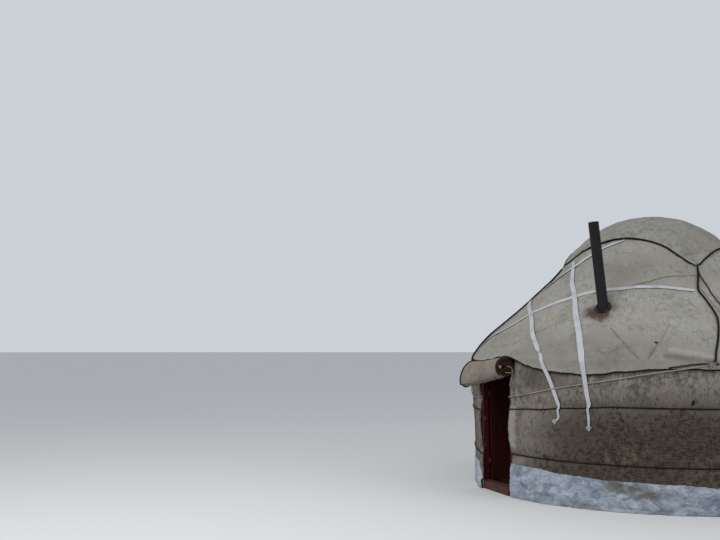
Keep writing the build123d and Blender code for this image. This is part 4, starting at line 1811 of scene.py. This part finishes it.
@dataclass
class PipeCollar:
    """Ragged rusty sheet round the stove pipe where it leaves the roof felt."""

    tent: Tent
    inner: float = 0.0625
    outer: float = 0.098
    thickness: float = 0.0015
    divisions: tuple[int, int] = (96, 10)

    def build(self, material: Material) -> None:
        """Makes the collar.

        Args:
            material: The rusty sheet's finish.
        """
        low, high = (Vector(corner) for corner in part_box("pipe_collar"))
        middle = (low + high) / 2
        x, y = self.tent.shape.centre
        azimuth = math.degrees(math.atan2(middle.x - x, -(middle.y - y)))
        slope = self.tent.shape.roof_slope
        side = Vector((cosine(azimuth), sine(azimuth), 0.0))
        down = self.tent.outwards(azimuth) * cosine(slope) + Vector((0.0, 0.0, -sine(slope)))
        out = self.tent.outwards(azimuth) * sine(slope) + Vector((0.0, 0.0, cosine(slope)))
        lean = 1 / cosine(slope)

        def place(share: float, spread: float) -> Vector:
            """Point of the collar's sheet.

            Args:
                share: Share of the turn round the pipe.
                spread: Share of the way from the pipe out to the rim.

            Returns:
                The point.
            """
            turn = 2 * math.pi * share
            mark = Vector((math.cos(turn), math.sin(turn), 0.5))
            rim = self.outer + 0.020 * cloud(mark, 0.55) + 0.010 * cloud(mark, 0.17)
            reach = self.inner + (rim - self.inner) * max(0.0, spread - 0.25) / 0.75
            rise = 0.016 * (1 - ease(0.0, 0.45, spread)) + 0.008 + 0.007 * cloud(mark, 0.3) * spread
            stretch = 1 + (lean - 1) * (1 - spread)
            level = side * math.cos(turn) * reach + down * math.sin(turn) * reach * stretch
            return middle + level + out * rise

        piece = Workshop.grid("pipe_collar_sheet", *self.divisions, place)
        Workshop.close_up(piece)
        Workshop.thicken(piece, self.thickness, 1.0)
        Workshop.shade(piece, Shading.BY_ANGLE, 40.0)
        Workshop.ready(piece, material, "tent", "pipe_steel", "pipe_collar")


@dataclass
class Tapes:
    """White woven tapes that hold the front roof felt."""

    skin: Skin
    width: float = 0.055
    thickness: float = 0.0022
    step: float = 0.020
    hanging_step: float = 0.013
    rope_height: float = 1.085
    knot_size: float = 0.022
    knot_radius: float = 0.007
    right_widths: Sequence[Place] = (
        (1.10, 0.80), (1.45, 0.92), (1.70, 1.22), (2.10, 1.22), (2.40, 1.0), (2.75, 0.85),
    )
    left_widths: Sequence[Place] = (
        (1.10, 0.75), (1.30, 0.85), (1.50, 0.80), (1.64, 0.70), (1.75, 0.95), (2.20, 1.0),
    )
    cross: Sequence[Place] = (
        (-18.5, 2.200), (-14.9, 2.101), (-7.6, 2.007), (-1.8, 1.862), (2.4, 1.758),
        (9.5, 1.659), (18.0, 1.579), (28.3, 1.503), (39.8, 1.472), (49.1, 1.452),
        (58.2, 1.457), (67.0, 1.487), (73.4, 1.512),
    )
    crown: Sequence[Place] = (
        (-15.5, 1.430), (-13.5, 1.385), (-6.2, 1.247), (1.7, 1.157), (10.2, 1.053),
        (21.6, 0.970), (35.0, 0.885),
    )
    right: Sequence[Place] = (
        (-4.0, 1.090), (1.7, 1.157), (12.4, 1.368), (21.0, 1.583), (30.2, 1.973),
        (34.7, 2.249), (35.4, 2.306), (35.6, 2.3175),
    )
    right_wall: Sequence[Place] = (
        (35.8, 1.565), (36.2, 1.439), (36.8, 1.234), (37.3, 1.115), (36.9, 1.075),
        (37.2, 0.962), (37.2, 0.861),
    )
    left: Sequence[Place] = (
        (-18.0, 1.559), (-8.0, 1.665), (4.8, 1.837), (16.4, 2.132), (20.4, 2.239),
        (22.8, 2.304), (23.2, 2.3175),
    )
    left_wall: Sequence[Place] = (
        (23.4, 1.571), (24.2, 1.500), (25.0, 1.441), (26.5, 1.300), (28.0, 1.139),
        (28.5, 1.080), (28.1, 1.040), (28.4, 0.960), (27.2, 0.913),
    )

    def build(self, material: Material) -> None:
        """Makes the four tapes.

        Args:
            material: The tape's finish.
        """

        def even(share: float) -> float:
            """Width, a little less at the tape's end."""
            return self.width * (1 - 0.25 * ease(0.965, 1.0, share))

        def level(share: float) -> float:
            """Slight turn about the tape's own line."""
            return 5.0 * math.sin(share * 9)

        def tapered(share: float) -> float:
            """Width that halves towards the tape's end."""
            return self.width * (1 - 0.50 * ease(0.86, 1.0, share))

        plain = (
            ("cross_roof_tape", self.cross, 0.004, "cross_tape", even),
            ("crown_roof_tape", self.crown, 0.007, "crown_tape", tapered),
        )
        for name, places, lift, node, width in plain:
            strand = self.skin.strand(places, (), lift).evenly(self.step)
            piece = strand.tape(name, width, self.thickness, level)
            Workshop.ready(piece, material, "tent", "white_tape", node)
        hung = (
            ("right_roof_tape", self.right, self.right_wall, self.right_widths, "right_tape", -1.0),
            ("left_roof_tape", self.left, self.left_wall, self.left_widths, "left_tape", 1.69),
        )
        for name, roof, wall, widths, node, pinch in hung:
            self.build_hanging(name, self.skin.strand(roof, wall, 0.009), widths, pinch, material, node)

    def build_hanging(
        self,
        name: str,
        strand: Strand,
        widths: Sequence[Place],
        pinch: float,
        material: Material,
        node: str,
    ) -> None:
        """Makes a tape that comes down the wall, goes under the rope and ends in a knot.

        Args:
            name: The piece's name.
            strand: The tape's line.
            widths: Shares of the full width by height.
            pinch: Height at which the tape is turned on edge, below 0 for none.
            material: The tape's finish.
            node: The CAD node that it stands for.
        """
        even = strand.evenly(self.hanging_step)
        last = len(even.points) - 1
        rope_share = strand.share_at(strand.index_at(self.rope_height))
        pinch_share = strand.share_at(strand.index_at(pinch)) if pinch > 0 else -1.0

        def width(share: float) -> float:
            """Width, drawn in under the rope, at the pinch and at the end."""
            under = ease(rope_share - 0.004, rope_share + 0.006, share)
            turned = 0.60 * bell(share - pinch_share, 0.010)
            part = along_list(widths, even.points[round(share * last)].z)
            return self.width * part * (1 - 0.42 * under - turned - 0.18 * ease(0.97, 1.0, share))

        def fold(share: float) -> float:
            """Slight turn about the tape's own line."""
            return 4.0 * math.sin(share * 11)

        piece = even.tape(name, width, self.thickness, fold)
        Workshop.ready(piece, material, "tent", "white_tape", node)
        knot = Knot(even.points[-1], even.outwards[-1], self.knot_size, self.knot_radius)
        Workshop.ready(knot.build(f"{name}_knot"), material, "tent", "white_tape")


@dataclass
class DoorFlap:
    """The felt door flap, rolled up over the doorway and tied."""

    tent: Tent
    near_end: float = 0.494
    far_end: float = -0.405
    near_height: float = 1.506
    far_height: float = 1.394
    near_half: float = 0.109
    far_half: float = 0.155
    far_half_depth: float = 0.096
    near_out: float = 0.108
    far_out: float = 0.1385
    lean: float = 0.34
    back: float = 2.2786
    turns: float = 5.0
    felt: float = 0.014
    edge: Twist = Twist(0.012, 2, 0.045, 9)
    tie: Twist = Twist(0.0050, 3, 0.04, 8)
    tie_step: float = 0.012
    knot_size: float = 0.012
    knot_radius: float = 0.006
    strap_width: float = 0.014
    strap_thickness: float = 0.002
    divisions: tuple[int, int] = (320, 40)
    straps: Sequence[float] = (0.155, 0.50, 0.84)
    tail: Sequence[tuple[float, float, float]] = (
        (0.518, 0.080, 1.512), (0.522, 0.046, 1.505), (0.520, 0.024, 1.478),
        (0.516, 0.024, 1.405), (0.500, 0.034, 1.340), (0.490, 0.043, 1.287),
    )
    short_end: Sequence[tuple[float, float, float]] = (
        (0.512, 0.112, 1.442), (0.520, 0.085, 1.441), (0.522, 0.058, 1.438),
        (0.520, 0.026, 1.432),
    )
    button: tuple[float, float, float] = (0.512, 0.178, 1.509)

    def centre(self, share: float) -> Vector:
        """Middle of the roll at a share of its length from the near end."""
        x = self.near_end + (self.far_end - self.near_end) * share
        out = self.near_out + (self.far_out - self.near_out) * share
        height = self.near_height + (self.far_height - self.near_height) * share
        sag = -0.008 * math.sin(math.pi * share)
        return Vector((x, self.tent.shape.centre[1] - self.back - out, height + sag))

    def skin(self, share: float, turn: float, reach: float = 1.0) -> Vector:
        """Point round the roll at a share of its length.

        Args:
            share: Share of the roll's length from the near end.
            turn: Radians round it.
            reach: Share of the way from its middle to its outside.

        Returns:
            The point.
        """
        half_height = self.near_half + (self.far_half - self.near_half) * share
        half_depth = self.near_half + (self.far_half_depth - self.near_half) * share
        centre = self.centre(share)
        soft = 1 + 0.022 * cloud(Vector((share * 2.2, math.cos(turn), math.sin(turn))), 0.8) * reach
        rise = math.sin(turn) * half_height
        away = Vector((0.0, -math.cos(turn) * half_depth + self.lean * share * rise, rise))
        return centre + away * reach * soft

    def spiral(self, spiral: float, share: float, out: float = 0.0) -> Vector:
        """Point of the rolled sheet.

        Args:
            spiral: Share of the way from the roll's core to its outside.
            share: Share of the roll's length from the near end.
            out: Metres past the sheet's edge.

        Returns:
            The point.
        """
        turn = 2 * math.pi * self.turns * spiral + 0.9
        point = self.skin(share, -turn, 0.07 + 0.93 * spiral * (1.30 - 0.30 * spiral))
        uneven = 0.010 * math.sin(turn * 0.5 + 1.0) + 0.008 * cloud(Vector((spiral * 9, 2.0, 4.0)), 0.7)
        uneven *= 1 - ease(0.72, 0.86, spiral)
        point.x += uneven * (1 - ease(0.0, 0.2, share)) - uneven * ease(0.8, 1.0, share) + out
        return point

    def build(
        self, felt: Material, lining: Material, cord: Material, brown: Material, pale: Material
    ) -> None:
        """Makes the roll, its straps, its tie and the cords that edge its two ends.

        Args:
            felt: The flap felt's finish.
            lining: The dark lining's finish.
            cord: The far end's black cord's finish.
            brown: The near end's dark brown cord's finish.
            pale: The pale cord's finish.
        """
        self.build_roll(felt, lining)
        self.build_edge("near_flap_cord", 0.0, 0.66, (0.003, 0.006), brown)
        self.build_edge("far_flap_cord", 1.0, 0.79, (0.002, 0.018), cord)
        for index, share in enumerate(self.straps):
            self.build_strap(f"flap_strap_{index + 1}", share, felt)
        self.build_tie(pale)

    def build_roll(self, felt: Material, lining: Material) -> None:
        """Makes the rolled sheet, dark inside and at its near end.

        Args:
            felt: The flap felt's finish.
            lining: The dark lining's finish.
        """
        piece = Workshop.grid("rolled_door_flap", *self.divisions, self.spiral)
        across = self.divisions[0]
        for polygon in piece.data.polygons:
            inside = (polygon.index % across) / across < 1 - 1.1 / self.turns
            polygon.material_index = 1 if inside else 0
        Workshop.thicken(piece, self.felt, -1.0)
        Workshop.close_up(piece)
        Workshop.shade(piece, Shading.BY_ANGLE, 55.0)
        picks = []
        for polygon in piece.data.polygons:
            end_on = abs(polygon.normal.x) > 0.6 and polygon.center.x > self.near_end - 0.03
            picks.append(1 if end_on else polygon.material_index)
        Workshop.ready(piece, felt, "tent", "flap_felt", "door_flap")
        piece.data.materials.append(lining)
        for polygon, pick in zip(piece.data.polygons, picks):
            polygon.material_index = pick

    def build_tie(self, pale: Material) -> None:
        """Makes the tie's hanging tail, its short end and its knot.

        Args:
            pale: The pale cord's finish.
        """
        front = self.tent.shape.centre[1] - self.back
        side = Vector((1.0, 0.0, 0.0))
        for name, places in (("flap_tie_tail", self.tail), ("flap_tie_end", self.short_end)):
            points = [Vector((x, front - reach, height)) for x, reach, height in places]
            line = Strand(points, [side] * len(points)).evenly(self.tie_step)
            Workshop.ready(line.rope(name, self.tie), pale, "tent", "pale_rope")
        x, reach, height = self.button
        place = Vector((x, front - reach, height))
        knot = Knot(place, side, self.knot_size, self.knot_radius)
        Workshop.ready(knot.build("flap_tie_knot"), pale, "tent", "pale_rope")

    def build_edge(self, name: str, share: float, start: float, out: Place, cord: Material) -> None:
        """Makes the dark cord that follows the sheet's edge at one end of the roll.

        Args:
            name: The piece's name.
            share: End of the roll, 0 for the near one and 1 for the far one.
            start: Share of the spiral where the cord starts.
            out: Metres past the sheet's edge, and off its outside.
            cord: The cord's finish.
        """
        points, outwards = [], []
        count = 110
        for index in range(count + 1):
            point = self.spiral(start + (1 - start) * index / count, share, out[0])
            away = (point - self.centre(share)).normalized()
            points.append(point + away * out[1])
            outwards.append(away)
        piece = Strand(points, outwards).rope(name, self.edge)
        Workshop.ready(piece, cord, "tent", "dark_rope")

    def build_strap(self, name: str, share: float, felt: Material) -> None:
        """Makes a thin strap tied round the roll.

        Args:
            name: The piece's name.
            share: Its place as a share of the roll's length.
            felt: The flap felt's finish.
        """
        points, outwards = [], []
        count = 72
        for index in range(count + 1):
            turn = 2 * math.pi * index / count
            points.append(self.skin(share, turn, 1.0 + 0.006 / self.near_half))
            outwards.append((points[-1] - self.centre(share)).normalized())
        strand = Strand(points, outwards)
        piece = strand.tape(name, lambda _: self.strap_width, self.strap_thickness, lambda _: 0.0)
        Workshop.ready(piece, felt, "tent", "pale_rope", "door_flap_straps")


@dataclass
class JambBeads:
    """Painted mouldings down the front of the door jambs, in a lighter paint that stands for the highlight
    along them.
    """

    radius: float = 0.0060
    sides: int = 12
    over_sill: float = 0.075
    under_lintel: float = 0.02
    insets: Sequence[float] = (0.010, 0.045)

    def build(self, material: Material) -> None:
        """Makes two mouldings on the left jamb and one on the right.

        Args:
            material: The lighter paint's finish, a painted highlight with worn chips.
        """
        for node, sign in (("jamb_left", -1), ("jamb_right", 1)):
            low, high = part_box(node)
            inner = high[0] if sign < 0 else low[0]
            foot, head = low[2] + self.over_sill, high[2] - self.under_lintel
            for index, inset in enumerate(self.insets if sign < 0 else self.insets[1:]):
                Workshop.clear_choice()
                place = (inner + sign * inset, low[1] + 0.0015, (foot + head) / 2)
                size = {"vertices": self.sides, "radius": self.radius, "depth": head - foot}
                bpy.ops.mesh.primitive_cylinder_add(**size, location=place)
                piece = bpy.context.object
                piece.name = f"{node}_bead_{index + 1}"
                Workshop.settle(piece)
                Workshop.shade(piece, Shading.BY_ANGLE, 50.0)
                Workshop.ready(piece, material, "tent", "door_paint")


class Studio:
    """The floor, the lights and the camera."""

    floor_size: float = 400.0
    floor_height: float = -0.001
    floor_colour: Colour = (0.62, 0.62, 0.61)
    sky_colour: Colour = (0.80, 0.84, 0.90)
    sky_strength: float = 0.75
    lamps: Sequence[tuple[str, Vector, float, float]] = (
        ("broad_lamp", Vector((4.0, -9.0, 8.0)), 7.0, 620.0),
        ("side_lamp", Vector((10.0, 5.0, 6.0)), 6.0, 260.0),
    )
    sensor: float = 36.0
    sight: float = 200.0
    lens: float = 45.735
    eye: Vector = Vector((10.121, -7.353, 1.7724))
    heading: Vector = Vector((-0.9492, 0.3149, 0.0))
    pitch: float = 4.6253
    lit_spot: Vector = Vector((0.0, 0.0, 1.2))

    def __init__(self, tent: Tent) -> None:
        """Keeps the tent's middle on the ground."""
        self.middle = Vector((*tent.shape.centre, 0.0))

    def build(self) -> None:
        """Makes the floor, the world, the lamps and the camera."""
        self.build_camera()
        self.build_floor()
        self.build_light()

    def aimed(self, place: Vector, ahead: Vector) -> Matrix:
        """Matrix of a thing that stands at a place from the tent's middle and looks ahead."""
        turn = ahead.to_track_quat("-Z", "Y").to_matrix().to_4x4()
        return Matrix.Translation(self.middle + place) @ turn

    def build_camera(self) -> None:
        """Puts the camera at the photo's viewing place."""
        data = bpy.data.cameras.new("eye")
        camera = bpy.data.objects.new("eye", data)
        bpy.context.scene.collection.objects.link(camera)
        data.sensor_width = self.sensor
        data.lens = self.lens
        data.clip_end = self.sight
        ahead = self.heading.normalized() * cosine(self.pitch) + Vector((0.0, 0.0, sine(self.pitch)))
        camera.matrix_world = self.aimed(self.eye, ahead)
        bpy.context.scene.camera = camera

    def build_floor(self) -> None:
        """Makes the pale floor."""
        Workshop.clear_choice()
        bpy.ops.mesh.primitive_grid_add(x_subdivisions=4, y_subdivisions=4, size=self.floor_size)
        floor = bpy.context.object
        floor.name = "studio_floor"
        floor.location = (0.0, 0.0, self.floor_height)
        make = Finish("studio_floor")
        Workshop.dress(floor, make.close(self.floor_colour, 0.9))

    def build_light(self) -> None:
        """Sets a soft overcast sky and two broad lamps."""
        scene = bpy.context.scene
        world = bpy.data.worlds.new("soft_sky")
        scene.world = world
        world.use_nodes = True
        background = world.node_tree.nodes["Background"]
        background.inputs["Color"].default_value = (*self.sky_colour, 1.0)
        background.inputs["Strength"].default_value = self.sky_strength
        for name, place, size, power in self.lamps:
            data = bpy.data.lights.new(name, "AREA")
            data.size = size
            data.energy = power
            lamp = bpy.data.objects.new(name, data)
            scene.collection.objects.link(lamp)
            lamp.matrix_world = self.aimed(place, self.lit_spot - place)
        scene.view_settings.view_transform = "Standard"


@dataclass
class Felts:
    """The finishes of the felts and of the skirt, with the marks that each shows."""

    tent: Tent
    roofs: RoofFelts

    def on_roof(self, azimuth: float, radius: float) -> Vector:
        """Point on the roof felt's outside."""
        return self.roofs.point(azimuth, self.tent.distance_at(radius))

    def roof(self) -> Material:
        """Roof felt with painted shade along its creases, a painted highlight on a bulge, small holes and
        the rusty run below the pipe.

        Returns:
            The finished material.
        """
        spot = self.on_roof
        rust = Mark(spot(33.0, 1.800), spot(37.0, 1.835), 0.140, (0.062, 0.045, 0.037), 0.97, 0.8)
        ring = Mark(spot(31.5, 1.745), spot(40.0, 1.720), 0.115, (0.088, 0.067, 0.055), 0.68, 1.0)
        # The colour along the creases is painted shade in the folds, with some dirt in the seams.
        dirt = (0.085, 0.073, 0.060)
        lines = [
            Mark(spot(*crease.start), spot(*crease.end), crease.width, dirt, crease.dirt, 0.5)
            for crease in self.roofs.creases
            if crease.dirt > 0
        ]
        # Painted highlight along the lit ridge of the bulge by the eave.
        painted_light = Mark(spot(59.0, 2.246), spot(70.5, 2.306), 0.048, (0.350, 0.344, 0.322), 0.42, 0.9)
        soaks = (
            Soak(spot(42.0, 2.260), (1.10, 1.10, 0.24), 0.36),
            Soak(spot(58.0, 1.230), (0.70, 0.70, 0.26), 0.26),
            Soak(spot(5.0, 2.200), (0.80, 0.80, 0.26), 0.18),
        )
        black = (0.012, 0.010, 0.009)
        holes = ((55.1, 2.166, 0.026, 0.97), (27.0, 2.185, 0.011, 0.6), (29.3, 2.290, 0.011, 0.6))
        dots = [
            Mark(spot(azimuth, radius), spot(azimuth + 0.15, radius), size, black, level, 0.2)
            for azimuth, radius, size, level in holes
        ]
        return FeltFinish(
            "roof_felt",
            pale=(0.308, 0.298, 0.268),
            dull=(0.176, 0.168, 0.147),
            soaked_light=(0.140, 0.127, 0.104),
            soaked_dark=(0.095, 0.083, 0.067),
            soaks=soaks,
            marks=(*lines, painted_light, ring, rust, *dots),
            spread=(0.49, 0.71),
        ).dress()

    def wall(self) -> Material:
        """Wall felt, soaked brown below and in the middle, paler by the doorway through painted highlights,
        and set darker overall as painted shade on the upright wall.

        Returns:
            The finished material.
        """
        spot = self.tent.wall
        hole = Mark(spot(63.8, 1.145), spot(64.0, 1.170), 0.024, (0.008, 0.007, 0.006), 1.0, 0.2)
        blue = Mark(spot(38.2, 0.680), spot(38.5, 0.690), 0.022, (0.045, 0.075, 0.110), 0.7, 0.5)
        patches = (
            (60.0, 0.78, 1.15, 0.40, 0.95), (36.0, 0.74, 0.60, 0.38, 0.70),
            (46.0, 0.36, 1.40, 0.26, 0.92), (23.0, 1.38, 0.34, 0.15, 0.50),
            (100.0, 0.70, 1.10, 0.42, 0.85), (140.0, 0.60, 1.20, 0.45, 0.80),
            (190.0, 0.66, 1.60, 0.42, 0.80), (250.0, 0.62, 1.60, 0.44, 0.80),
            (305.0, 0.66, 1.30, 0.40, 0.75),
        )
        radius = self.tent.shape.wall_radius
        soaks = [
            Soak(self.tent.at(azimuth, radius, height), (wide, wide, tall), strength)
            for azimuth, height, wide, tall, strength in patches
        ]
        # The lighter strips by the doorway are painted highlights where the felts' edges turn; the two dark
        # bands on the left are partly wear and partly painted shade.
        worn = (
            Mark(spot(10.9, 0.62), spot(11.0, 1.00), 0.085, (0.285, 0.264, 0.232), 0.72, 0.8),
            Mark(spot(11.4, 0.40), spot(14.5, 0.44), 0.060, (0.220, 0.190, 0.160), 0.55, 0.9),
            Mark(spot(10.6, 1.10), spot(11.4, 1.40), 0.050, (0.230, 0.208, 0.180), 0.50, 0.9),
            Mark(spot(-11.6, 0.60), spot(-12.2, 1.12), 0.045, (0.285, 0.250, 0.215), 0.72, 0.7),
            Mark(spot(-20.0, 0.40), spot(-19.0, 1.30), 0.105, (0.070, 0.056, 0.045), 0.55, 0.9),
            Mark(spot(-28.0, 0.34), spot(-27.0, 1.20), 0.190, (0.036, 0.028, 0.022), 0.60, 1.1),
        )
        return FeltFinish(
            "wall_felt",
            # pale and dull are set darker than the felt's own colour, as painted shade on the upright wall.
            pale=(0.216, 0.198, 0.170),
            dull=(0.080, 0.069, 0.057),
            soaked_light=(0.080, 0.062, 0.047),
            soaked_dark=(0.023, 0.0155, 0.0112),
            soak=(0.58, 0.88),
            soaks=soaks,
            marks=(hole, blue, *worn),
            flat=(3.42, 1.57),
            spread=(0.50, 0.645),
            laths=True,
        ).dress()

    def cover(self) -> Material:
        """Crown cover felt, with painted shade along one crease by its edge.

        Returns:
            The finished material.
        """
        # A dark line along the crease: painted shade in the fold.
        ends = (self.on_roof(72.7, 1.102), self.on_roof(84.0, 1.122))
        return FeltFinish(
            "cover_felt",
            pale=(0.262, 0.254, 0.227),
            dull=(0.148, 0.142, 0.121),
            soaked_light=(0.13, 0.114, 0.089),
            soaked_dark=(0.088, 0.077, 0.059),
            soak=(0.58, 0.80),
            marks=(Mark(*ends, 0.014, (0.10, 0.090, 0.076), 0.5, 0.5),),
            flat=(1.95, 1.95),
            spread=(0.48, 0.72),
        ).dress()

    def flap(self) -> Material:
        """Outside of the rolled door flap."""
        pale, dull = (0.235, 0.208, 0.172), (0.150, 0.131, 0.106)
        return FeltFinish("flap_felt", pale, dull, soak=(0.64, 0.82), flat=(2.35, 0.90)).dress()

    def lining(self) -> Material:
        """Dark lining inside the rolled door flap."""
        pale, dull = (0.052, 0.032, 0.018), (0.017, 0.011, 0.007)
        soaked_light, soaked_dark = (0.023, 0.015, 0.011), (0.008, 0.006, 0.005)
        return FeltFinish("flap_lining", pale, dull, soaked_light, soaked_dark).dress()

    def skirt(self) -> Material:
        """Plastic skirt with brown patches near its top and a painted pool of light on its left length."""
        radius = self.tent.shape.wall_radius + 0.02
        stains = ((44.0, 0.275), (48.5, 0.240), (53.0, 0.190))
        spots = [self.tent.at(azimuth, radius, height) for azimuth, height in stains]
        # Painted pool of light on the left length, near the doorway.
        painted_light = self.tent.at(-11.0, radius, 0.16)
        return SheetFinish("skirt_sheet", stain_spots=spots, painted_light_spot=painted_light).dress()


def dress_nodes(frame: dict) -> None:
    """Gives each CAD node that stays its material.
    """
    paints = (
        ("door_paint", (0.058, 0.0035, 0.0045), (0.026, 0.0015, 0.002), (0.095, 0.030, 0.032), 0.76),
        # The door paint darkened as painted shade, for the right jamb in the doorway's recess.
        ("shaded_paint", (0.016, 0.0011, 0.0013), (0.007, 0.0006, 0.0007), (0.03, 0.01, 0.01), 0.70),
        # The leaves' paint is darker, partly aged paint and partly painted shade inside the doorway.
        ("leaf_aged_and_shaded_paint", (0.030, 0.0010, 0.0014), (0.014, 0.0005, 0.0008), (0.050, 0.008, 0.008), 0.80),
    )
    painted = [
        WoodFinish(name, colour, dark, worn=worn, worn_level=level)
        for name, colour, dark, worn, level in paints
    ]
    wood = WoodFinish("frame_wood", (0.20, 0.085, 0.045), (0.09, 0.035, 0.02))
    sill = WoodFinish(
        "threshold_wood",
        colour=(0.092, 0.038, 0.034),
        dark=(0.036, 0.015, 0.013),
        grain=(0.6, 9.0, 9.0),
        rough=0.8,
    )
    pipe = SteelFinish(
        "pipe_steel",
        colour=(0.0045, 0.0053, 0.0056),
        rust=(0.0100, 0.0050, 0.0046),
        rust_low=0.56,
        rust_high=0.74,
        rough=0.66,
        rusty_from=2.85,
        bare_metal=0.25,
        shine=0.30,
    )
    steel = SteelFinish("hinge_steel", (0.075, 0.030, 0.030), (0.12, 0.06, 0.055), 0.5, 0.7)
    finishes = {item.name: item.dress() for item in (*painted, wood, sill, pipe, steel)}
    # The right jamb takes the painted shade paint; the leaves take the paint that is darker with age and
    # painted shade.
    own = {"door_leaf_left": "leaf_aged_and_shaded_paint", "door_leaf_right": "leaf_aged_and_shaded_paint", "jamb_right": "shaded_paint"}
    slots = {row["node"]: row["material_slot"] for row in frame["record"]["subparts"]}
    for name, node in frame["nodes"].items():
        choice = own.get(name, slots[name])
        if choice in finishes:
            Workshop.dress(node, finishes[choice])


def main() -> None:
    """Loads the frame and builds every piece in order."""
    logging.basicConfig(level=logging.INFO, format="%(name)s: %(message)s")
    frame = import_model()
    low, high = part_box("crown_ring")
    centre = ((low[0] + high[0]) / 2, (low[1] + high[1]) / 2)
    tent = Tent(TentShape(centre))
    Studio(tent).build()
    dress_nodes(frame)
    rope = RopeFinish("dark_rope", (0.0075, 0.006, 0.005), (0.020, 0.0155, 0.0125)).dress()
    cord = RopeFinish("black_cord", (0.0050, 0.0042, 0.0038), (0.013, 0.011, 0.0095)).dress()
    brown = RopeFinish("brown_cord", (0.030, 0.019, 0.016), (0.060, 0.042, 0.036)).dress()
    dark_brown = RopeFinish("dark_brown_cord", (0.017, 0.0095, 0.0055), (0.044, 0.027, 0.016)).dress()
    red = RopeFinish("red_cord", (0.150, 0.105, 0.090), (0.200, 0.155, 0.132)).dress()
    # A reddish cord darkened to stand also for the shade under the bulge by the eave.
    shaded_red = RopeFinish("dull_red_cord", (0.028, 0.014, 0.012), (0.055, 0.033, 0.029)).dress()
    pale = RopeFinish("pale_rope", (0.285, 0.262, 0.230), (0.175, 0.155, 0.132)).dress()
    tape = TapeFinish("white_tape").dress()
    # The beads' lighter pinkish paint is a painted highlight along the mouldings; its chips are wear.
    bead = WoodFinish("bead_paint", (0.150, 0.048, 0.052), (0.070, 0.014, 0.016), worn=(0.20, 0.11, 0.11))
    rusty = SteelFinish("rusty_sheet", (0.018, 0.010, 0.0085), (0.042, 0.018, 0.012), 0.46, 0.66, 0.85)
    roof = RoofFelts(tent)
    felts = Felts(tent, roof)
    skin = Skin(tent, roof)

    WallFelts(tent).build(felts.wall())
    roof.build(felts.roof(), cord)
    CrownCover(tent, roof).build(felts.cover(), cord)
    Skirt(tent).build(felts.skirt())
    Ropes(skin).build(rope, cord, pale)
    LooseCords(skin).build(brown, red, shaded_red, pale)
    Tapes(skin).build(tape)
    PipeCollar(tent).build(rusty.dress())
    DoorFlap(tent).build(felts.flap(), felts.lining(), cord, dark_brown, pale)
    JambBeads().build(bead.dress())


if __name__ == "__main__":
    main()
